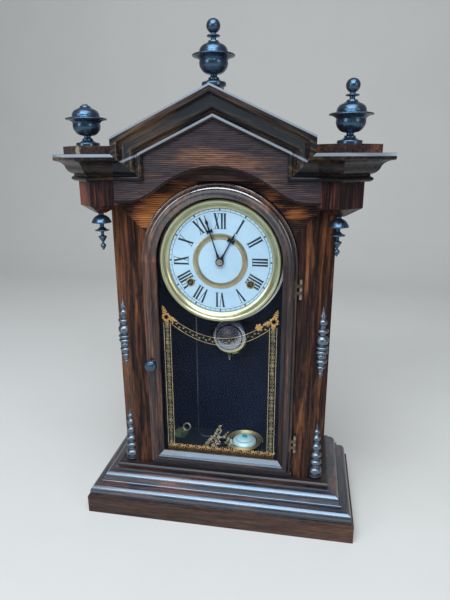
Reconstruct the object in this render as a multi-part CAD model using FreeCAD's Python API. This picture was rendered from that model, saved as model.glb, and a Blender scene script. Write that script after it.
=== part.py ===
import FreeCAD, Part
import math
import os

Vector = FreeCAD.Vector
os.makedirs("parts", exist_ok=True)

# A gabled shelf clock in veneered wood, with turned finials, an arched glazed door,
# a brass bezel and a striking movement with its pendulum behind it.
# Millimetres. X to the right, Y to the back, Z up, origin under the middle of the clock.

# Base
base_side_overhang = 40.0
base_front = -63.5
plinth_height = 23.5
moulding_height = 28.5
moulding_first_inset = 3.5
moulding_run = 25.5
floor_board_height = 6.0
floor_board_inset = 32.5
floor_edge_round = 1.6

# Case body
case_wall = 10.0
case_front = -23.0
cant_run = 19.0
cant_depth = 13.0
back_board_front = 74.5
back_board_thickness = 8.0

# Front frame and its arched opening
dial_height = 340.0
stile_width = 21.0
arch_cover_height = 1.0
door_side_gap = 1.0
door_floor_gap = 6.5
door_lip_width = 7.5
door_lip_front_gap = 0.3
frame_mitre_drop = 33.0

# Door
door_width = 17.0
door_thickness = 16.5
door_back = -17.5
rabbet_width = 2.5
rabbet_depth = 4.5
glass_thickness = 2.0
glass_side_gap = 0.2

# Door furniture
knob_rise = 144.8
knob_radius = 7.8
knob_length = 13.0
knob_shank_radius = 2.0
running_gap = 0.05
latch_length = 8.5
latch_width = 3.6
latch_thickness = 1.4
latch_gap = 0.4
hinge_setback = 4.0
hinge_barrel_radius = 2.1
hinge_leaf_thickness = 1.0
hinge_pin_radius = 1.1
hinge_pin_head_radius = 1.9
hinge_pin_head_height = 1.6
hinge_height = 21.0
hinge_knuckle_gap = 0.3
knuckle_count = 5
low_hinge_rise = 34.0
high_hinge_drop = 37.5
hinge_leaf_reach = 3.6
hinge_frame_leaf_reach = 2.1

# Crown, cornice and gable
cornice_height = 28.5
cornice_projection = 20.9
frieze_front = -45.5
frieze_thickness = 10.0
frieze_end_drop = 24.5
frieze_middle_rise = 14.5
corner_y = -41.0
corner_half_diagonal = 24.0
crown_side_overhang = 11.0
crown_end_length = 55.0
gable_shoulder_rise = 27.0
gable_slope = 25.0
gable_block_thickness = 16.0
gable_block_drop = 5.0
blocking_height = 8.5
blocking_overhang = 11.0
corner_block_height = 27.0
corner_taper_height = 9.0
corner_taper_half_diagonal = 6.5
drop_length = 43.4
drop_radius = 11.2

# Turned ornaments
side_finial_height = 61.0
side_finial_radius = 21.8
finial_side_shift = 5.5
finial_y = -48.5
centre_finial_height = 62.5
centre_finial_radius = 21.9
centre_finial_y = -40.0
centre_seat_half_width = 8.5
centre_seat_depth = 24.0
broken_finial_share = 0.70
turning_spacing = 62.3
upper_turning_length = 93.0
upper_turning_radius = 8.3
lower_turning_rise = 3.5
lower_turning_length = 74.2
lower_turning_radius = 8.4

# Dial
dial_plane = -12.0
dial_thickness = 1.0
bezel_inner_radius = 63.5
bezel_width = 11.5
bezel_cover = 3.0
door_bezel_gap = 1.0
bezel_depth = 6.5
pan_flange = 3.0
pan_depth = 7.0
pan_sheet = 1.0
pan_lip = 1.5
inner_ring_outer_radius = 33.6
inner_ring_inner_radius = 26.7
inner_ring_height = 1.0
winding_x = 37.0
winding_drop = 27.0
winding_hole_radius = 4.6
grommet_flange_radius = 5.4
grommet_bore_radius = 3.9
grommet_flange_height = 0.8
grommet_side_gap = 0.2
dial_centre_hole_radius = 4.2

# Hands
minute_hand_gap = 5.5
hand_length_difference = 19.0
hand_thickness = 0.8
hour_hand_gap = 1.7
hand_spacing = 1.2
hand_hub_radius = 5.0
hand_nut_radius = 3.7
hand_nut_height = 1.4
minute_arbor_radius = 1.3
hour_pipe_bore_gap = 0.08
hour_pipe_wall = 1.2
minute_angle = -18.0
hour_angle = 28.5

# Movement plates and arbors
front_plate_y = 8.0
plate_thickness = 2.0
plate_gap = 34.0
plate_half_width = 58.0
plate_bottom = -48.0
plate_top = 60.0
plate_chamfer_width = 18.0
plate_chamfer_height = 24.0
plate_window_radius = 9.0
plate_window_drop = 24.0
pillar_radius = 3.0
pillar_tenon_radius = 1.6
pillar_nut_radius = 3.3
pillar_nut_height = 1.6
low_pillar_x = 8.0
middle_pillar = (52.0, 20.0)
high_pillar = (42.0, 48.0)
leg_radius = 3.5
low_leg = (50.0, -38.0)
high_leg = (34.0, 46.0)
dial_foot_radius = 2.0
low_dial_foot = (46.0, -34.0)
high_dial_foot = (30.0, 46.0)
arbor_radius = 1.0
pivot_radius = 0.7
pivot_proud = 0.5
end_shake = 0.2
winding_arbor_radius = 3.0
winding_pivot_radius = 2.0
winding_collar_radius = 4.5
winding_collar_height = 1.8
winding_square = 4.2
winding_square_length = 14.0
winding_end_y = -13.0
ratchet_teeth = 14
ratchet_radius = 9.0
ratchet_depth = 1.2
ratchet_thickness = 1.1
click_width = 3.0
click_length = 8.0
click_gap = 0.4

# Wheels and pinions
great_module = 0.9
second_module = 0.8
strike_module = 0.7
centre_module = 0.6
third_module = 0.5
motion_module = 0.6
great_teeth = 60
second_teeth = 56
strike_teeth = 48
centre_teeth = 72
third_teeth = 70
low_pinion_pins = 8
high_pinion_pins = 7
cannon_teeth = 10
minute_teeth = 30
minute_pinion_teeth = 8
hour_teeth = 32
wheel_tip_share = 0.08
tip_height_share = 0.85
wheel_root_share = 0.26
escape_tip_share = 0.04
escape_root_share = 0.34
pin_share = 0.5
wheel_thickness = 1.6
great_wheel_thickness = 2.5
thin_wheel_thickness = 1.2
pinion_margin = 1.5
wheel_rim = 1.6
wheel_hub_radius = 3.6
great_wheel_hub_radius = 12.0
collet_radius = 2.3
collet_length = 1.0
spoke_width = 1.8
spoke_count = 4
spring_radius = 17.5
spring_hole_radius = 4.0
spring_strip = 1.0
spring_depth = 18.0
spring_layer = 3.0
third_layer = 10.0
fly_layer = 13.0
centre_layer = 18.0
great_layer = 23.0
escape_layer = 26.0
second_layer = 29.0
escape_rise = 34.0
escape_radius = 14.0
escape_teeth = 42
escape_tooth_depth = 1.9
anchor_rise = 17.0
anchor_reach = 40.0
anchor_thickness = 2.2
anchor_hub_radius = 2.2
pallet_gap = 1.1
fly_direction = 150.0
fly_half_span = 8.0
fly_length = 9.0
fly_thickness = 1.0
cannon_layer = 3.0
cannon_length = 2.0
minute_wheel_layer = 3.2
hour_wheel_layer = 7.8
stud_end_gap = 1.4

# Pendulum, hammer, gong and key
pendulum_gap = 10.0
pendulum_length = 172.6
pendulum_rod_radius = 1.0
pendulum_rod_tail = 35.0
pendulum_eye_radius = 3.4
pendulum_eye_thickness = 3.0
bob_radius = 26.5
bob_thickness = 8.0
suspension_pin_radius = 1.2
suspension_pin_length = 8.0
cock_half_width = 4.0
cock_thickness = 3.5
cock_rise = 5.5
rating_nut_radius = 4.2
rating_nut_height = 4.5
rating_nut_gap = 0.2
crutch_length = 40.0
crutch_width = 2.6
crutch_thickness = 1.4
crutch_gap = 1.6
fork_gap = 0.3
fork_thickness = 1.6
fork_height = 3.0
hammer_x = -43.5
hammer_pivot_drop = 40.0
hammer_hub_radius = 3.0
hammer_hub_length = 4.0
hammer_hub_gap = 1.4
hammer_wire_radius = 0.8
hammer_wire_height = 8.0
hammer_wire_bend = 10.0
hammer_head_length = 12.0
hammer_head_radius = 3.6
hammer_gap = 0.6
gong_x = 24.5
gong_y = 40.5
gong_outer_radius = 27.0
gong_wire_radius = 1.1
gong_pitch = 3.0
gong_half_turns = 5
gap_test_steps = 24
gong_height = 7.0
gong_boss_width = 3.4
gong_boss_length = 2.4
gong_foot_radius = 11.0
gong_foot_height = 5.2
gong_bar_height = 3.2
gong_dome_radius = 17.2
gong_dome_height = 9.5
key_x = -69.0
key_y = 46.5
key_barrel_radius = 2.7
key_barrel_length = 8.0
key_stem_radius = 1.1
key_bow_radius = 5.2
key_bow_wire = 1.1
key_bow_shift = 6.0
key_bow_rise = 9.0
key_bow_tilt = 25.0
key_peg_side = 2.6
key_peg_height = 5.0
key_square_gap = 0.1

# One overrun for cuts and one large length for half spaces
overrun = 2.0
far = 2000.0

# Moulding outlines as shares: run or projection, height, bulge to the next point
base_moulding_shares = [
    (0.00, 0.00, 0.0), (0.00, 0.05, 0.0), (0.04, 0.06, 0.35), (0.38, 0.48, 0.0),
    (0.49, 0.50, 0.30), (0.49, 0.60, 0.0), (0.56, 0.62, 0.0), (0.57, 0.68, 0.22),
    (0.97, 0.94, 0.0), (1.00, 0.94, 0.0), (1.00, 1.00, 0.0)]
cornice_shares = [
    (0.16, 0.00, 0.0), (0.22, 0.03, 0.35), (0.22, 0.17, 0.0), (0.17, 0.20, 0.0),
    (0.17, 0.26, 0.14), (0.50, 0.50, -0.14), (0.86, 0.74, 0.0), (0.97, 0.76, 0.0),
    (1.00, 0.79, 0.0), (1.00, 1.00, 0.0)]
door_shares = [
    (1.00, 0.00, 0.0), (1.00, 0.60, 0.20), (0.83, 0.63, 0.0), (0.80, 0.72, 0.32),
    (0.30, 0.74, 0.0), (0.26, 0.70, 0.0), (0.00, 0.48, 0.0)]
inner_ring_bulge_share = 0.07
bezel_shares = [(1.0, 0.40, 0.0), (0.92, 1.00, 0.24), (0.50, 1.00, -0.10), (0.0, 0.24, 0.0)]

# Turned outlines as shares: radius, height, bulge to the next point
finial_shares = [
    (0.58, 0.000, 0.0), (0.58, 0.040, 0.20), (0.50, 0.062, -0.12), (0.30, 0.094, 0.0),
    (0.26, 0.100, 0.0), (0.26, 0.122, 0.12), (0.18, 0.136, 0.0), (0.165, 0.145, 0.0),
    (0.165, 0.170, 0.0), (0.25, 0.178, 0.12), (0.58, 0.250, 0.12), (0.66, 0.385, 0.0),
    (0.70, 0.405, -0.08), (0.98, 0.445, 0.35), (0.98, 0.470, 0.0), (0.72, 0.492, 0.0),
    (0.68, 0.497, 0.0), (0.67, 0.510, 0.17), (0.38, 0.625, 0.0), (0.36, 0.632, 0.0),
    (0.27, 0.650, 0.0), (0.24, 0.672, 0.0), (0.13, 0.684, 0.0), (0.125, 0.700, 0.0),
    (0.125, 0.722, 0.0), (0.29, 0.735, 0.30), (0.29, 0.755, 0.0), (0.13, 0.770, 0.0),
    (0.13, 0.790, 0.40), (0.03, 1.000, 0.0)]
drop_shares = [
    (0.03, 0.000, 0.0), (0.26, 0.095, 0.18), (0.23, 0.160, 0.0), (0.11, 0.190, 0.0),
    (0.12, 0.225, 0.0), (0.24, 0.270, 0.0), (0.42, 0.350, 0.20), (0.40, 0.378, 0.0),
    (0.16, 0.405, 0.0), (0.15, 0.485, 0.0), (0.34, 0.505, 0.0), (0.71, 0.528, 0.20),
    (0.70, 0.552, -0.10), (0.30, 0.612, 0.0), (0.22, 0.630, 0.0), (0.22, 0.705, 0.0),
    (0.66, 0.722, 0.0), (1.00, 0.742, 0.25), (0.96, 0.780, 0.08), (0.56, 0.915, 0.0),
    (0.44, 0.932, 0.0), (0.27, 0.950, 0.0), (0.27, 1.000, 0.0)]
upper_turning_shares = [
    (0.06, 0.000, 0.0), (0.28, 0.055, 0.0), (0.30, 0.062, 0.30), (0.30, 0.092, 0.0),
    (0.36, 0.100, 0.0), (0.42, 0.145, 0.0), (0.56, 0.150, 0.30), (0.56, 0.190, 0.0),
    (0.48, 0.197, 0.0), (0.54, 0.225, 0.0), (0.70, 0.230, 0.30), (0.70, 0.280, 0.0),
    (0.56, 0.288, 0.22), (0.58, 0.355, 0.0), (0.80, 0.362, 0.30), (0.80, 0.410, 0.0),
    (0.66, 0.416, 0.0), (0.66, 0.428, 0.0), (0.87, 0.433, 0.30), (0.87, 0.467, 0.0),
    (0.62, 0.474, 0.0), (0.66, 0.484, 0.25), (0.58, 0.608, 0.0), (0.44, 0.616, 0.0),
    (0.46, 0.646, 0.0), (0.74, 0.652, 0.30), (0.74, 0.700, 0.0), (0.42, 0.710, 0.0),
    (0.42, 0.742, 0.0), (0.46, 0.750, 0.24), (0.42, 0.828, 0.0), (0.32, 0.835, 0.0),
    (0.32, 0.858, 0.0), (0.46, 0.864, 0.0), (0.40, 0.885, -0.04), (0.04, 1.000, 0.0)]
lower_turning_shares = [
    (1.06, 0.000, 0.0), (1.06, 0.014, 0.0), (0.80, 0.022, 0.22), (0.80, 0.150, 0.0),
    (0.58, 0.163, 0.0), (0.56, 0.205, 0.0), (0.74, 0.214, 0.26), (0.74, 0.305, 0.0),
    (0.54, 0.315, 0.0), (0.54, 0.345, 0.0), (0.69, 0.355, 0.26), (0.67, 0.440, 0.0),
    (0.46, 0.455, 0.0), (0.46, 0.495, 0.0), (0.59, 0.505, 0.18), (0.56, 0.605, 0.0),
    (0.37, 0.620, 0.0), (0.35, 0.665, 0.0), (0.45, 0.675, 0.22), (0.43, 0.765, 0.0),
    (0.27, 0.780, 0.0), (0.27, 0.810, 0.0), (0.36, 0.820, 0.25), (0.34, 0.880, 0.0),
    (0.26, 0.886, -0.04), (0.04, 1.000, 0.0)]
knob_place_share = 0.49
knob_seat_share = 0.78
knob_shares = [
    (0.62, 0.00, 0.0), (0.62, 0.06, 0.0), (0.36, 0.14, -0.10), (0.40, 0.42, 0.0),
    (0.86, 0.50, 0.30), (0.96, 0.66, 0.20), (0.62, 0.93, 0.12), (0.06, 1.00, 0.0)]
bob_shares = [
    (0.66, 0.00, 0.0), (0.70, 0.04, 0.0), (0.92, 0.22, 0.10), (1.00, 0.46, 0.20),
    (1.00, 0.58, 0.0), (0.86, 0.84, 0.0), (0.72, 0.84, 0.0), (0.66, 1.00, 0.0)]
dome_shares = [
    (0.62, 0.00, 0.0), (1.00, 0.02, 0.0), (1.00, 0.10, 0.16), (0.62, 0.62, 0.10),
    (0.24, 0.80, 0.0), (0.22, 0.98, 0.0), (0.18, 1.00, 0.0)]

# Hand outlines as shares of length: half width, distance from the hub
minute_hand_shares = [
    (0.030, 0.00), (0.030, 0.12), (0.014, 0.20), (0.010, 0.60), (0.016, 0.63),
    (0.065, 0.61), (0.065, 0.70), (0.018, 0.68), (0.012, 0.78), (0.032, 0.84),
    (0.010, 0.90), (0.004, 1.00)]
hour_hand_shares = [
    (0.045, 0.00), (0.045, 0.16), (0.020, 0.26), (0.016, 0.66), (0.030, 0.69),
    (0.110, 0.66), (0.110, 0.80), (0.034, 0.77), (0.022, 0.90), (0.006, 1.00)]

# Bell curve of the frieze as shares: half width, rise between end and middle
frieze_curve_shares = [(1.00, 0.00), (0.88, 0.01), (0.78, 0.05), (0.70, 0.15), (0.62, 0.28),
                       (0.54, 0.44), (0.45, 0.61), (0.36, 0.74), (0.26, 0.86), (0.13, 0.95),
                       (0.00, 0.98)]

# Heights and places worked out from the sizes above
dial_radius = bezel_inner_radius + bezel_cover
bezel_outer_radius = bezel_inner_radius + bezel_width
pan_radius = bezel_outer_radius + pan_flange
minute_hand_length = bezel_inner_radius - minute_hand_gap
hour_hand_length = minute_hand_length - hand_length_difference
door_inner_radius = bezel_outer_radius + door_bezel_gap
door_outer_radius = door_inner_radius + door_width
frame_opening = door_outer_radius + door_side_gap
cant_inner_half_width = frame_opening + stile_width
case_half_width = cant_inner_half_width + cant_run
base_half_width = case_half_width + base_side_overhang
corner_x = case_half_width
crown_side_x = corner_x + crown_side_overhang
finial_x = corner_x + finial_side_shift
gable_return_x = corner_x - crown_end_length
hinge_axis_x = door_outer_radius + hinge_setback
floor_top = plinth_height + moulding_height + floor_board_height
door_bottom = floor_top + door_floor_gap
frame_bottom = door_bottom - door_side_gap
knob_height = door_bottom + knob_rise
hinge_bottoms = (door_bottom + low_hinge_rise, dial_height - high_hinge_drop)
crown_bottom = dial_height + frame_opening + arch_cover_height
crown_top = crown_bottom + cornice_height
frame_mitre_height = crown_bottom - frame_mitre_drop
frieze_end_height = crown_bottom - frieze_end_drop
frieze_middle_height = crown_bottom + frieze_middle_rise
gable_shoulder_height = crown_bottom + gable_shoulder_rise
lower_turning_bottom = floor_top + lower_turning_rise
upper_turning_bottom = lower_turning_bottom + lower_turning_length + turning_spacing
base_back = (corner_half_diagonal + cornice_projection * math.sqrt(2)) - corner_y
frieze_half_width = corner_x - (frieze_front - (corner_y - corner_half_diagonal))
cant_outer_y = case_front + cant_depth
cant_length = math.hypot(cant_run, cant_depth)
cant_normal = Vector(cant_depth / cant_length, -cant_run / cant_length, 0)
lip_front = door_back + door_lip_front_gap
frame_back = case_front + case_wall
slope = math.radians(gable_slope)
apex_inner = gable_shoulder_height + gable_return_x * math.tan(slope)
apex_outer = apex_inner + cornice_height / math.cos(slope)
shoulder_outer = (gable_shoulder_height + cornice_height * (1 - math.sin(slope)) / math.cos(slope))
blocking_top = crown_top + blocking_height
knob_x = -(door_inner_radius + door_width * knob_place_share)
cage_front = front_plate_y + plate_thickness
back_plate_y = cage_front + plate_gap
movement_back = back_plate_y + plate_thickness
pendulum_y = movement_back + pendulum_gap
hinge_axis_y = case_front - hinge_leaf_thickness - hinge_barrel_radius
anchor_height = dial_height + escape_rise + anchor_rise
bob_height = anchor_height - pendulum_length


def solid_check(name, shape):
    solids = shape.Solids
    if not solids or not shape.isValid():
        raise ValueError("the shape of " + name + " is not a valid solid")
    return solids


def save(name, *shapes):
    solids = []
    for shape in shapes:
        solids.extend(solid_check(name, shape))
    result = solids[0] if len(solids) == 1 else Part.makeCompound(solids)
    result.exportStep("parts/" + name + ".step")


def box(x0, x1, y0, y1, z0, z1):
    return Part.makeBox(x1 - x0, y1 - y0, z1 - z0, Vector(x0, y0, z0))


def rod(start, end, radius):
    return Part.makeCylinder(radius, (end - start).Length, start, end - start)


def edges_of(points, to_space):
    """Edges through (u, v, bulge) points; a bulge bows the edge to the right of its way."""
    edges = []
    count = len(points)
    for index in range(count):
        u0, v0, bulge = points[index]
        u1, v1 = points[(index + 1) % count][:2]
        start = to_space(u0, v0)
        end = to_space(u1, v1)
        if bulge == 0:
            edges.append(Part.LineSegment(start, end).toShape())
        else:
            middle = to_space((u0 + u1) / 2 + bulge * (v1 - v0), (v0 + v1) / 2 - bulge * (u1 - u0))
            edges.append(Part.Arc(start, middle, end).toShape())
    return edges


def outline_face(points, to_space):
    return Part.Face(Part.Wire(edges_of(points, to_space)))


def straight(points):
    return [(u, v, 0.0) for u, v in points]


def plan_prism(points, z0, z1):
    face = outline_face(points, lambda u, v: Vector(u, v, z0))
    return face.extrude(Vector(0, 0, z1 - z0))


def front_prism(points, y0, y1):
    face = outline_face(points, lambda u, v: Vector(u, y0, v))
    return face.extrude(Vector(0, y1 - y0, 0))


def turned(shares, radius, height, foot, direction=Vector(0, 0, 1)):
    """A body of revolution from its foot along a direction."""
    outline = [(0.0, shares[0][1] * height, 0.0)]
    outline += [(r * radius, h * height, bulge) for r, h, bulge in shares if r > 0]
    outline.append((0.0, shares[-1][1] * height, 0.0))
    face = outline_face(outline, lambda u, v: Vector(u, 0, v))
    solid = face.revolve(Vector(0, 0, 0), Vector(0, 0, 1), 360)
    solid.Placement = FreeCAD.Placement(foot, FreeCAD.Rotation(Vector(0, 0, 1), direction))
    return solid


def front_ring(points, x, z):
    """A ring about an axis along Y; points are radius and distance to the front."""
    face = outline_face(points, lambda u, v: Vector(x + u, -v, z))
    return face.revolve(Vector(x, 0, z), Vector(0, -1, 0), 360)


def disc(radius, x, z, y0, y1):
    return Part.makeCylinder(radius, y1 - y0, Vector(x, y0, z), Vector(0, 1, 0))


def mirrored(shape):
    return shape.mirror(Vector(0, 0, 0), Vector(1, 0, 0))


def half_space(point, direction):
    block = Part.makeBox(far, far, far, Vector(-far / 2, -far / 2, 0))
    block.Placement = FreeCAD.Placement(point, FreeCAD.Rotation(Vector(0, 0, 1), direction))
    return block


def unit(vector):
    return vector * (1 / vector.Length)


def run_of_moulding(profile, before, start, end, after, up):
    """One mitred length of moulding; its outer side is along the way crossed with up."""
    way = unit(end - start)
    out = way.cross(up)
    first = start - way * (2 * cornice_height)
    last = end + way * (2 * cornice_height)
    face = outline_face(profile, lambda u, v: first + out * u + up * v)
    length = face.extrude(last - first)
    start_way = way if before is None else unit(way + unit(start - before))
    end_way = way if after is None else unit(way + unit(after - end))
    return length.cut(half_space(start, start_way * -1)).cut(half_space(end, end_way))


def arch_outline(radius, bottom):
    return [(-radius, bottom, 0.0), (radius, bottom, 0.0), (radius, dial_height, 0.5),
            (-radius, dial_height, 0.0)]


def base_slab(profile, back):
    """A slab whose edge has the profile at the front and both sides; points are inset, height."""
    right = [(base_half_width - inset, height, bulge) for inset, height, bulge in profile]
    left = []
    for index in range(len(profile) - 1, -1, -1):
        bulge = profile[index - 1][2] if index > 0 else 0.0
        left.append((-right[index][0], right[index][1], bulge))
    right[-1] = (right[-1][0], right[-1][1], 0.0)
    width = front_prism(right + left, base_front - overrun, back)
    side = [(-base_front - inset, height, bulge) for inset, height, bulge in profile]
    side[-1] = (side[-1][0], side[-1][1], 0.0)
    side += [(-back, profile[-1][1], 0.0), (-back, profile[0][1], 0.0)]
    face = outline_face(side, lambda u, v: Vector(-base_half_width - overrun, -u, v))
    depth = face.extrude(Vector(2 * (base_half_width + overrun), 0, 0))
    return width.common(depth)


def make_base():
    save("base_board", box(-base_half_width, base_half_width, base_front, base_back, 0, plinth_height))
    profile = [(moulding_first_inset + moulding_run * run, plinth_height + moulding_height * height, bulge)
               for run, height, bulge in base_moulding_shares]
    save("base_moulding", base_slab(profile, base_back))
    bottom = plinth_height + moulding_height
    edge = [(floor_board_inset + floor_edge_round, bottom, 0.0),
            (floor_board_inset, bottom + floor_edge_round, 0.0),
            (floor_board_inset, floor_top - floor_edge_round, 0.0),
            (floor_board_inset + floor_edge_round, floor_top, 0.0)]
    floor = base_slab(edge, back_board_front + back_board_thickness)
    peg = key_peg_side / 2
    floor = floor.fuse(box(key_x - peg, key_x + peg, key_y - peg, key_y + peg,
                           floor_top - overrun, floor_top + key_peg_height))
    save("case_floor", floor)


def cant_inner(x, y):
    """A point moved in by one wall, square to the canted corner."""
    return x - cant_normal.x * case_wall, y - cant_normal.y * case_wall


def make_case_walls():
    along = case_wall / cant_depth * cant_run
    side = [(case_half_width, cant_outer_y), (case_half_width, back_board_front),
            (case_half_width - case_wall, back_board_front),
            (case_half_width - case_wall, cant_outer_y + along)]
    right = plan_prism(straight(side), floor_top, crown_bottom)
    save("case_sides", right, mirrored(right))
    outer = (case_half_width, cant_outer_y)
    inner = (cant_inner_half_width, case_front)
    post = plan_prism(straight([inner, outer, cant_inner(*outer), cant_inner(*inner)]),
                      floor_top, crown_bottom)
    save("corner_posts", post, mirrored(post))
    save("back_board", box(-case_half_width, case_half_width, back_board_front,
                           back_board_front + back_board_thickness, floor_top, crown_bottom))


def make_front_frame():
    back_half_width = cant_inner_half_width - case_wall * cant_depth / cant_run
    plan = [(-cant_inner_half_width, case_front), (cant_inner_half_width, case_front),
            (back_half_width, frame_back), (-back_half_width, frame_back)]
    frame = plan_prism(straight(plan), floor_top, crown_bottom)
    opening = arch_outline(frame_opening, frame_bottom)
    frame = frame.cut(front_prism(opening, case_front - overrun, lip_front))
    inner = frame_opening - door_lip_width
    inner_bottom = frame_bottom + door_lip_width
    frame = frame.cut(front_prism(arch_outline(inner, inner_bottom), case_front - overrun,
                                  frame_back + overrun))
    wide = case_half_width
    near = inner / 2
    mitre_wide = frame_mitre_height + wide - cant_inner_half_width
    mitre_near = frame_mitre_height + near - cant_inner_half_width
    y0 = case_front - overrun
    y1 = frame_back + overrun
    stile = [(frame_opening, floor_top), (wide, floor_top), (wide, mitre_wide),
             (near, mitre_near), (near, inner_bottom), (frame_opening, inner_bottom)]
    right = frame.common(front_prism(straight(stile), y0, y1))
    save("front_stiles", right, mirrored(right))
    arch = [(wide, mitre_wide), (wide, crown_bottom), (-wide, crown_bottom), (-wide, mitre_wide),
            (-near, mitre_near), (near, mitre_near)]
    save("front_arch_board", frame.common(front_prism(straight(arch), y0, y1)))
    save("front_bottom_rail", frame.common(box(-frame_opening, frame_opening, y0, y1,
                                               floor_top, inner_bottom)))


def crown_wall():
    """The right half of the crown's wall line, from the front to the back."""
    low = corner_half_diagonal
    side_y = corner_y + (corner_x + low - crown_side_x)
    back = back_board_front + back_board_thickness
    return [Vector(frieze_half_width, frieze_front, 0), Vector(corner_x, corner_y - low, 0),
            Vector(corner_x + low, corner_y, 0), Vector(crown_side_x, side_y, 0),
            Vector(crown_side_x, back, 0)]


def make_crown():
    wall = crown_wall()
    right = [(frieze_half_width, frieze_front + frieze_thickness)]
    right += [(point.x, point.y) for point in wall]
    left = [(-x, y) for x, y in reversed(right)]
    save("crown_board", plan_prism(straight(right + left), crown_bottom, crown_top))
    profile = [(0.0, 0.0, 0.0)]
    profile += [(out * cornice_projection, up * cornice_height, bulge) for out, up, bulge in cornice_shares]
    profile.append((0.0, cornice_height, 0.0))
    up = Vector(0, 0, 1)
    path = [Vector(gable_return_x, frieze_front, 0)] + wall
    path = [point + Vector(0, 0, crown_bottom) for point in path]
    runs = []
    for index in range(len(path) - 1):
        before = path[index - 1] if index > 0 else None
        after = path[index + 2] if index + 2 < len(path) else None
        start = path[index]
        if index == 0:
            start = start - Vector(cornice_height, 0, 0)
        runs.append(run_of_moulding(profile, before, start, path[index + 1], after, up))
    mitre = half_space(path[0], unit(Vector(-1, 0, 1)))
    cornice = runs[0].multiFuse(runs[1:]).cut(mitre).removeSplitter()
    save("cornices", cornice, mirrored(cornice))


def make_gable():
    profile = [(0.0, 0.0, 0.0), (cornice_height, 0.0, 0.0)]
    profile += [(up * cornice_height, out * cornice_projection, 0.0) for out, up, bulge
                in reversed(cornice_shares)]
    shares = list(reversed(cornice_shares))
    for index in range(len(shares) - 1):
        u, v, _ = profile[index + 2]
        profile[index + 2] = (u, v, shares[index + 1][2])
    front = Vector(0, -1, 0)
    bottom = Vector(gable_return_x, frieze_front, crown_bottom)
    shoulder = Vector(gable_return_x, frieze_front, gable_shoulder_height)
    apex = Vector(0, frieze_front, apex_inner)
    beside = bottom + Vector(cornice_height, 0, 0)
    over = Vector(-gable_return_x, frieze_front, gable_shoulder_height)
    upright = run_of_moulding(profile, beside, bottom, shoulder, apex, front)
    rake = run_of_moulding(profile, bottom, shoulder, apex, over, front)
    gable = upright.fuse(rake).removeSplitter()
    save("gable_mouldings", gable, mirrored(gable))
    outer = gable_return_x + cornice_height
    rise = frieze_middle_height - frieze_end_height
    curve = [Vector(share * frieze_half_width, frieze_front, frieze_end_height + lift * rise)
             for share, lift in frieze_curve_shares]
    mirrored_curve = [Vector(-point.x, point.y, point.z) for point in reversed(curve[:-1])]
    bell = Part.BSplineCurve()
    bell.interpolate(curve + mirrored_curve)
    corners = [curve[0], Vector(frieze_half_width, frieze_front, crown_top),
               Vector(outer, frieze_front, crown_top), Vector(outer, frieze_front, shoulder_outer),
               Vector(0, frieze_front, apex_outer), Vector(-outer, frieze_front, shoulder_outer),
               Vector(-outer, frieze_front, crown_top), Vector(-frieze_half_width, frieze_front, crown_top),
               mirrored_curve[-1]]
    sides = [Part.LineSegment(corners[i], corners[i + 1]).toShape() for i in range(len(corners) - 1)]
    face = Part.Face(Part.Wire([bell.toShape()] + list(reversed(sides))))
    board = face.extrude(Vector(0, frieze_thickness, 0))
    past = frieze_half_width + overrun
    behind = frieze_front + frieze_thickness + overrun
    run = frieze_thickness + 2 * overrun
    corner_cut = plan_prism(straight([(past, behind), (past - run, behind), (past, behind - run)]),
                            frieze_end_height - overrun, crown_bottom)
    save("frieze_board", board.cut(corner_cut).cut(mirrored(corner_cut)))
    drop = gable_block_drop
    block = [(-outer + drop, crown_top), (outer - drop, crown_top), (outer - drop, shoulder_outer - drop),
             (0, apex_outer - drop), (-outer + drop, shoulder_outer - drop)]
    back = frieze_front + frieze_thickness
    solid = front_prism(straight(block), back, back + gable_block_thickness)
    seat_y0 = centre_finial_y - centre_seat_depth / 2
    seat_y1 = centre_finial_y + centre_seat_depth / 2
    fall = centre_seat_half_width * math.tan(slope)
    wedge = [(-centre_seat_half_width, apex_outer - fall), (0, apex_outer),
             (centre_seat_half_width, apex_outer - fall), (centre_seat_half_width, apex_outer),
             (-centre_seat_half_width, apex_outer)]
    right_wedge = straight([wedge[1], wedge[2], wedge[3]])
    left_wedge = straight([wedge[0], wedge[1], wedge[4]])
    key_block = straight([(-centre_seat_half_width, apex_outer - fall - drop),
                          (centre_seat_half_width, apex_outer - fall - drop),
                          (centre_seat_half_width, apex_outer), (-centre_seat_half_width, apex_outer)])
    solid = solid.fuse(front_prism(key_block, back, seat_y1))
    solid = solid.fuse(front_prism(right_wedge, seat_y0, seat_y1))
    solid = solid.fuse(front_prism(left_wedge, seat_y0, seat_y1))
    save("gable_block", solid.removeSplitter())


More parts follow.
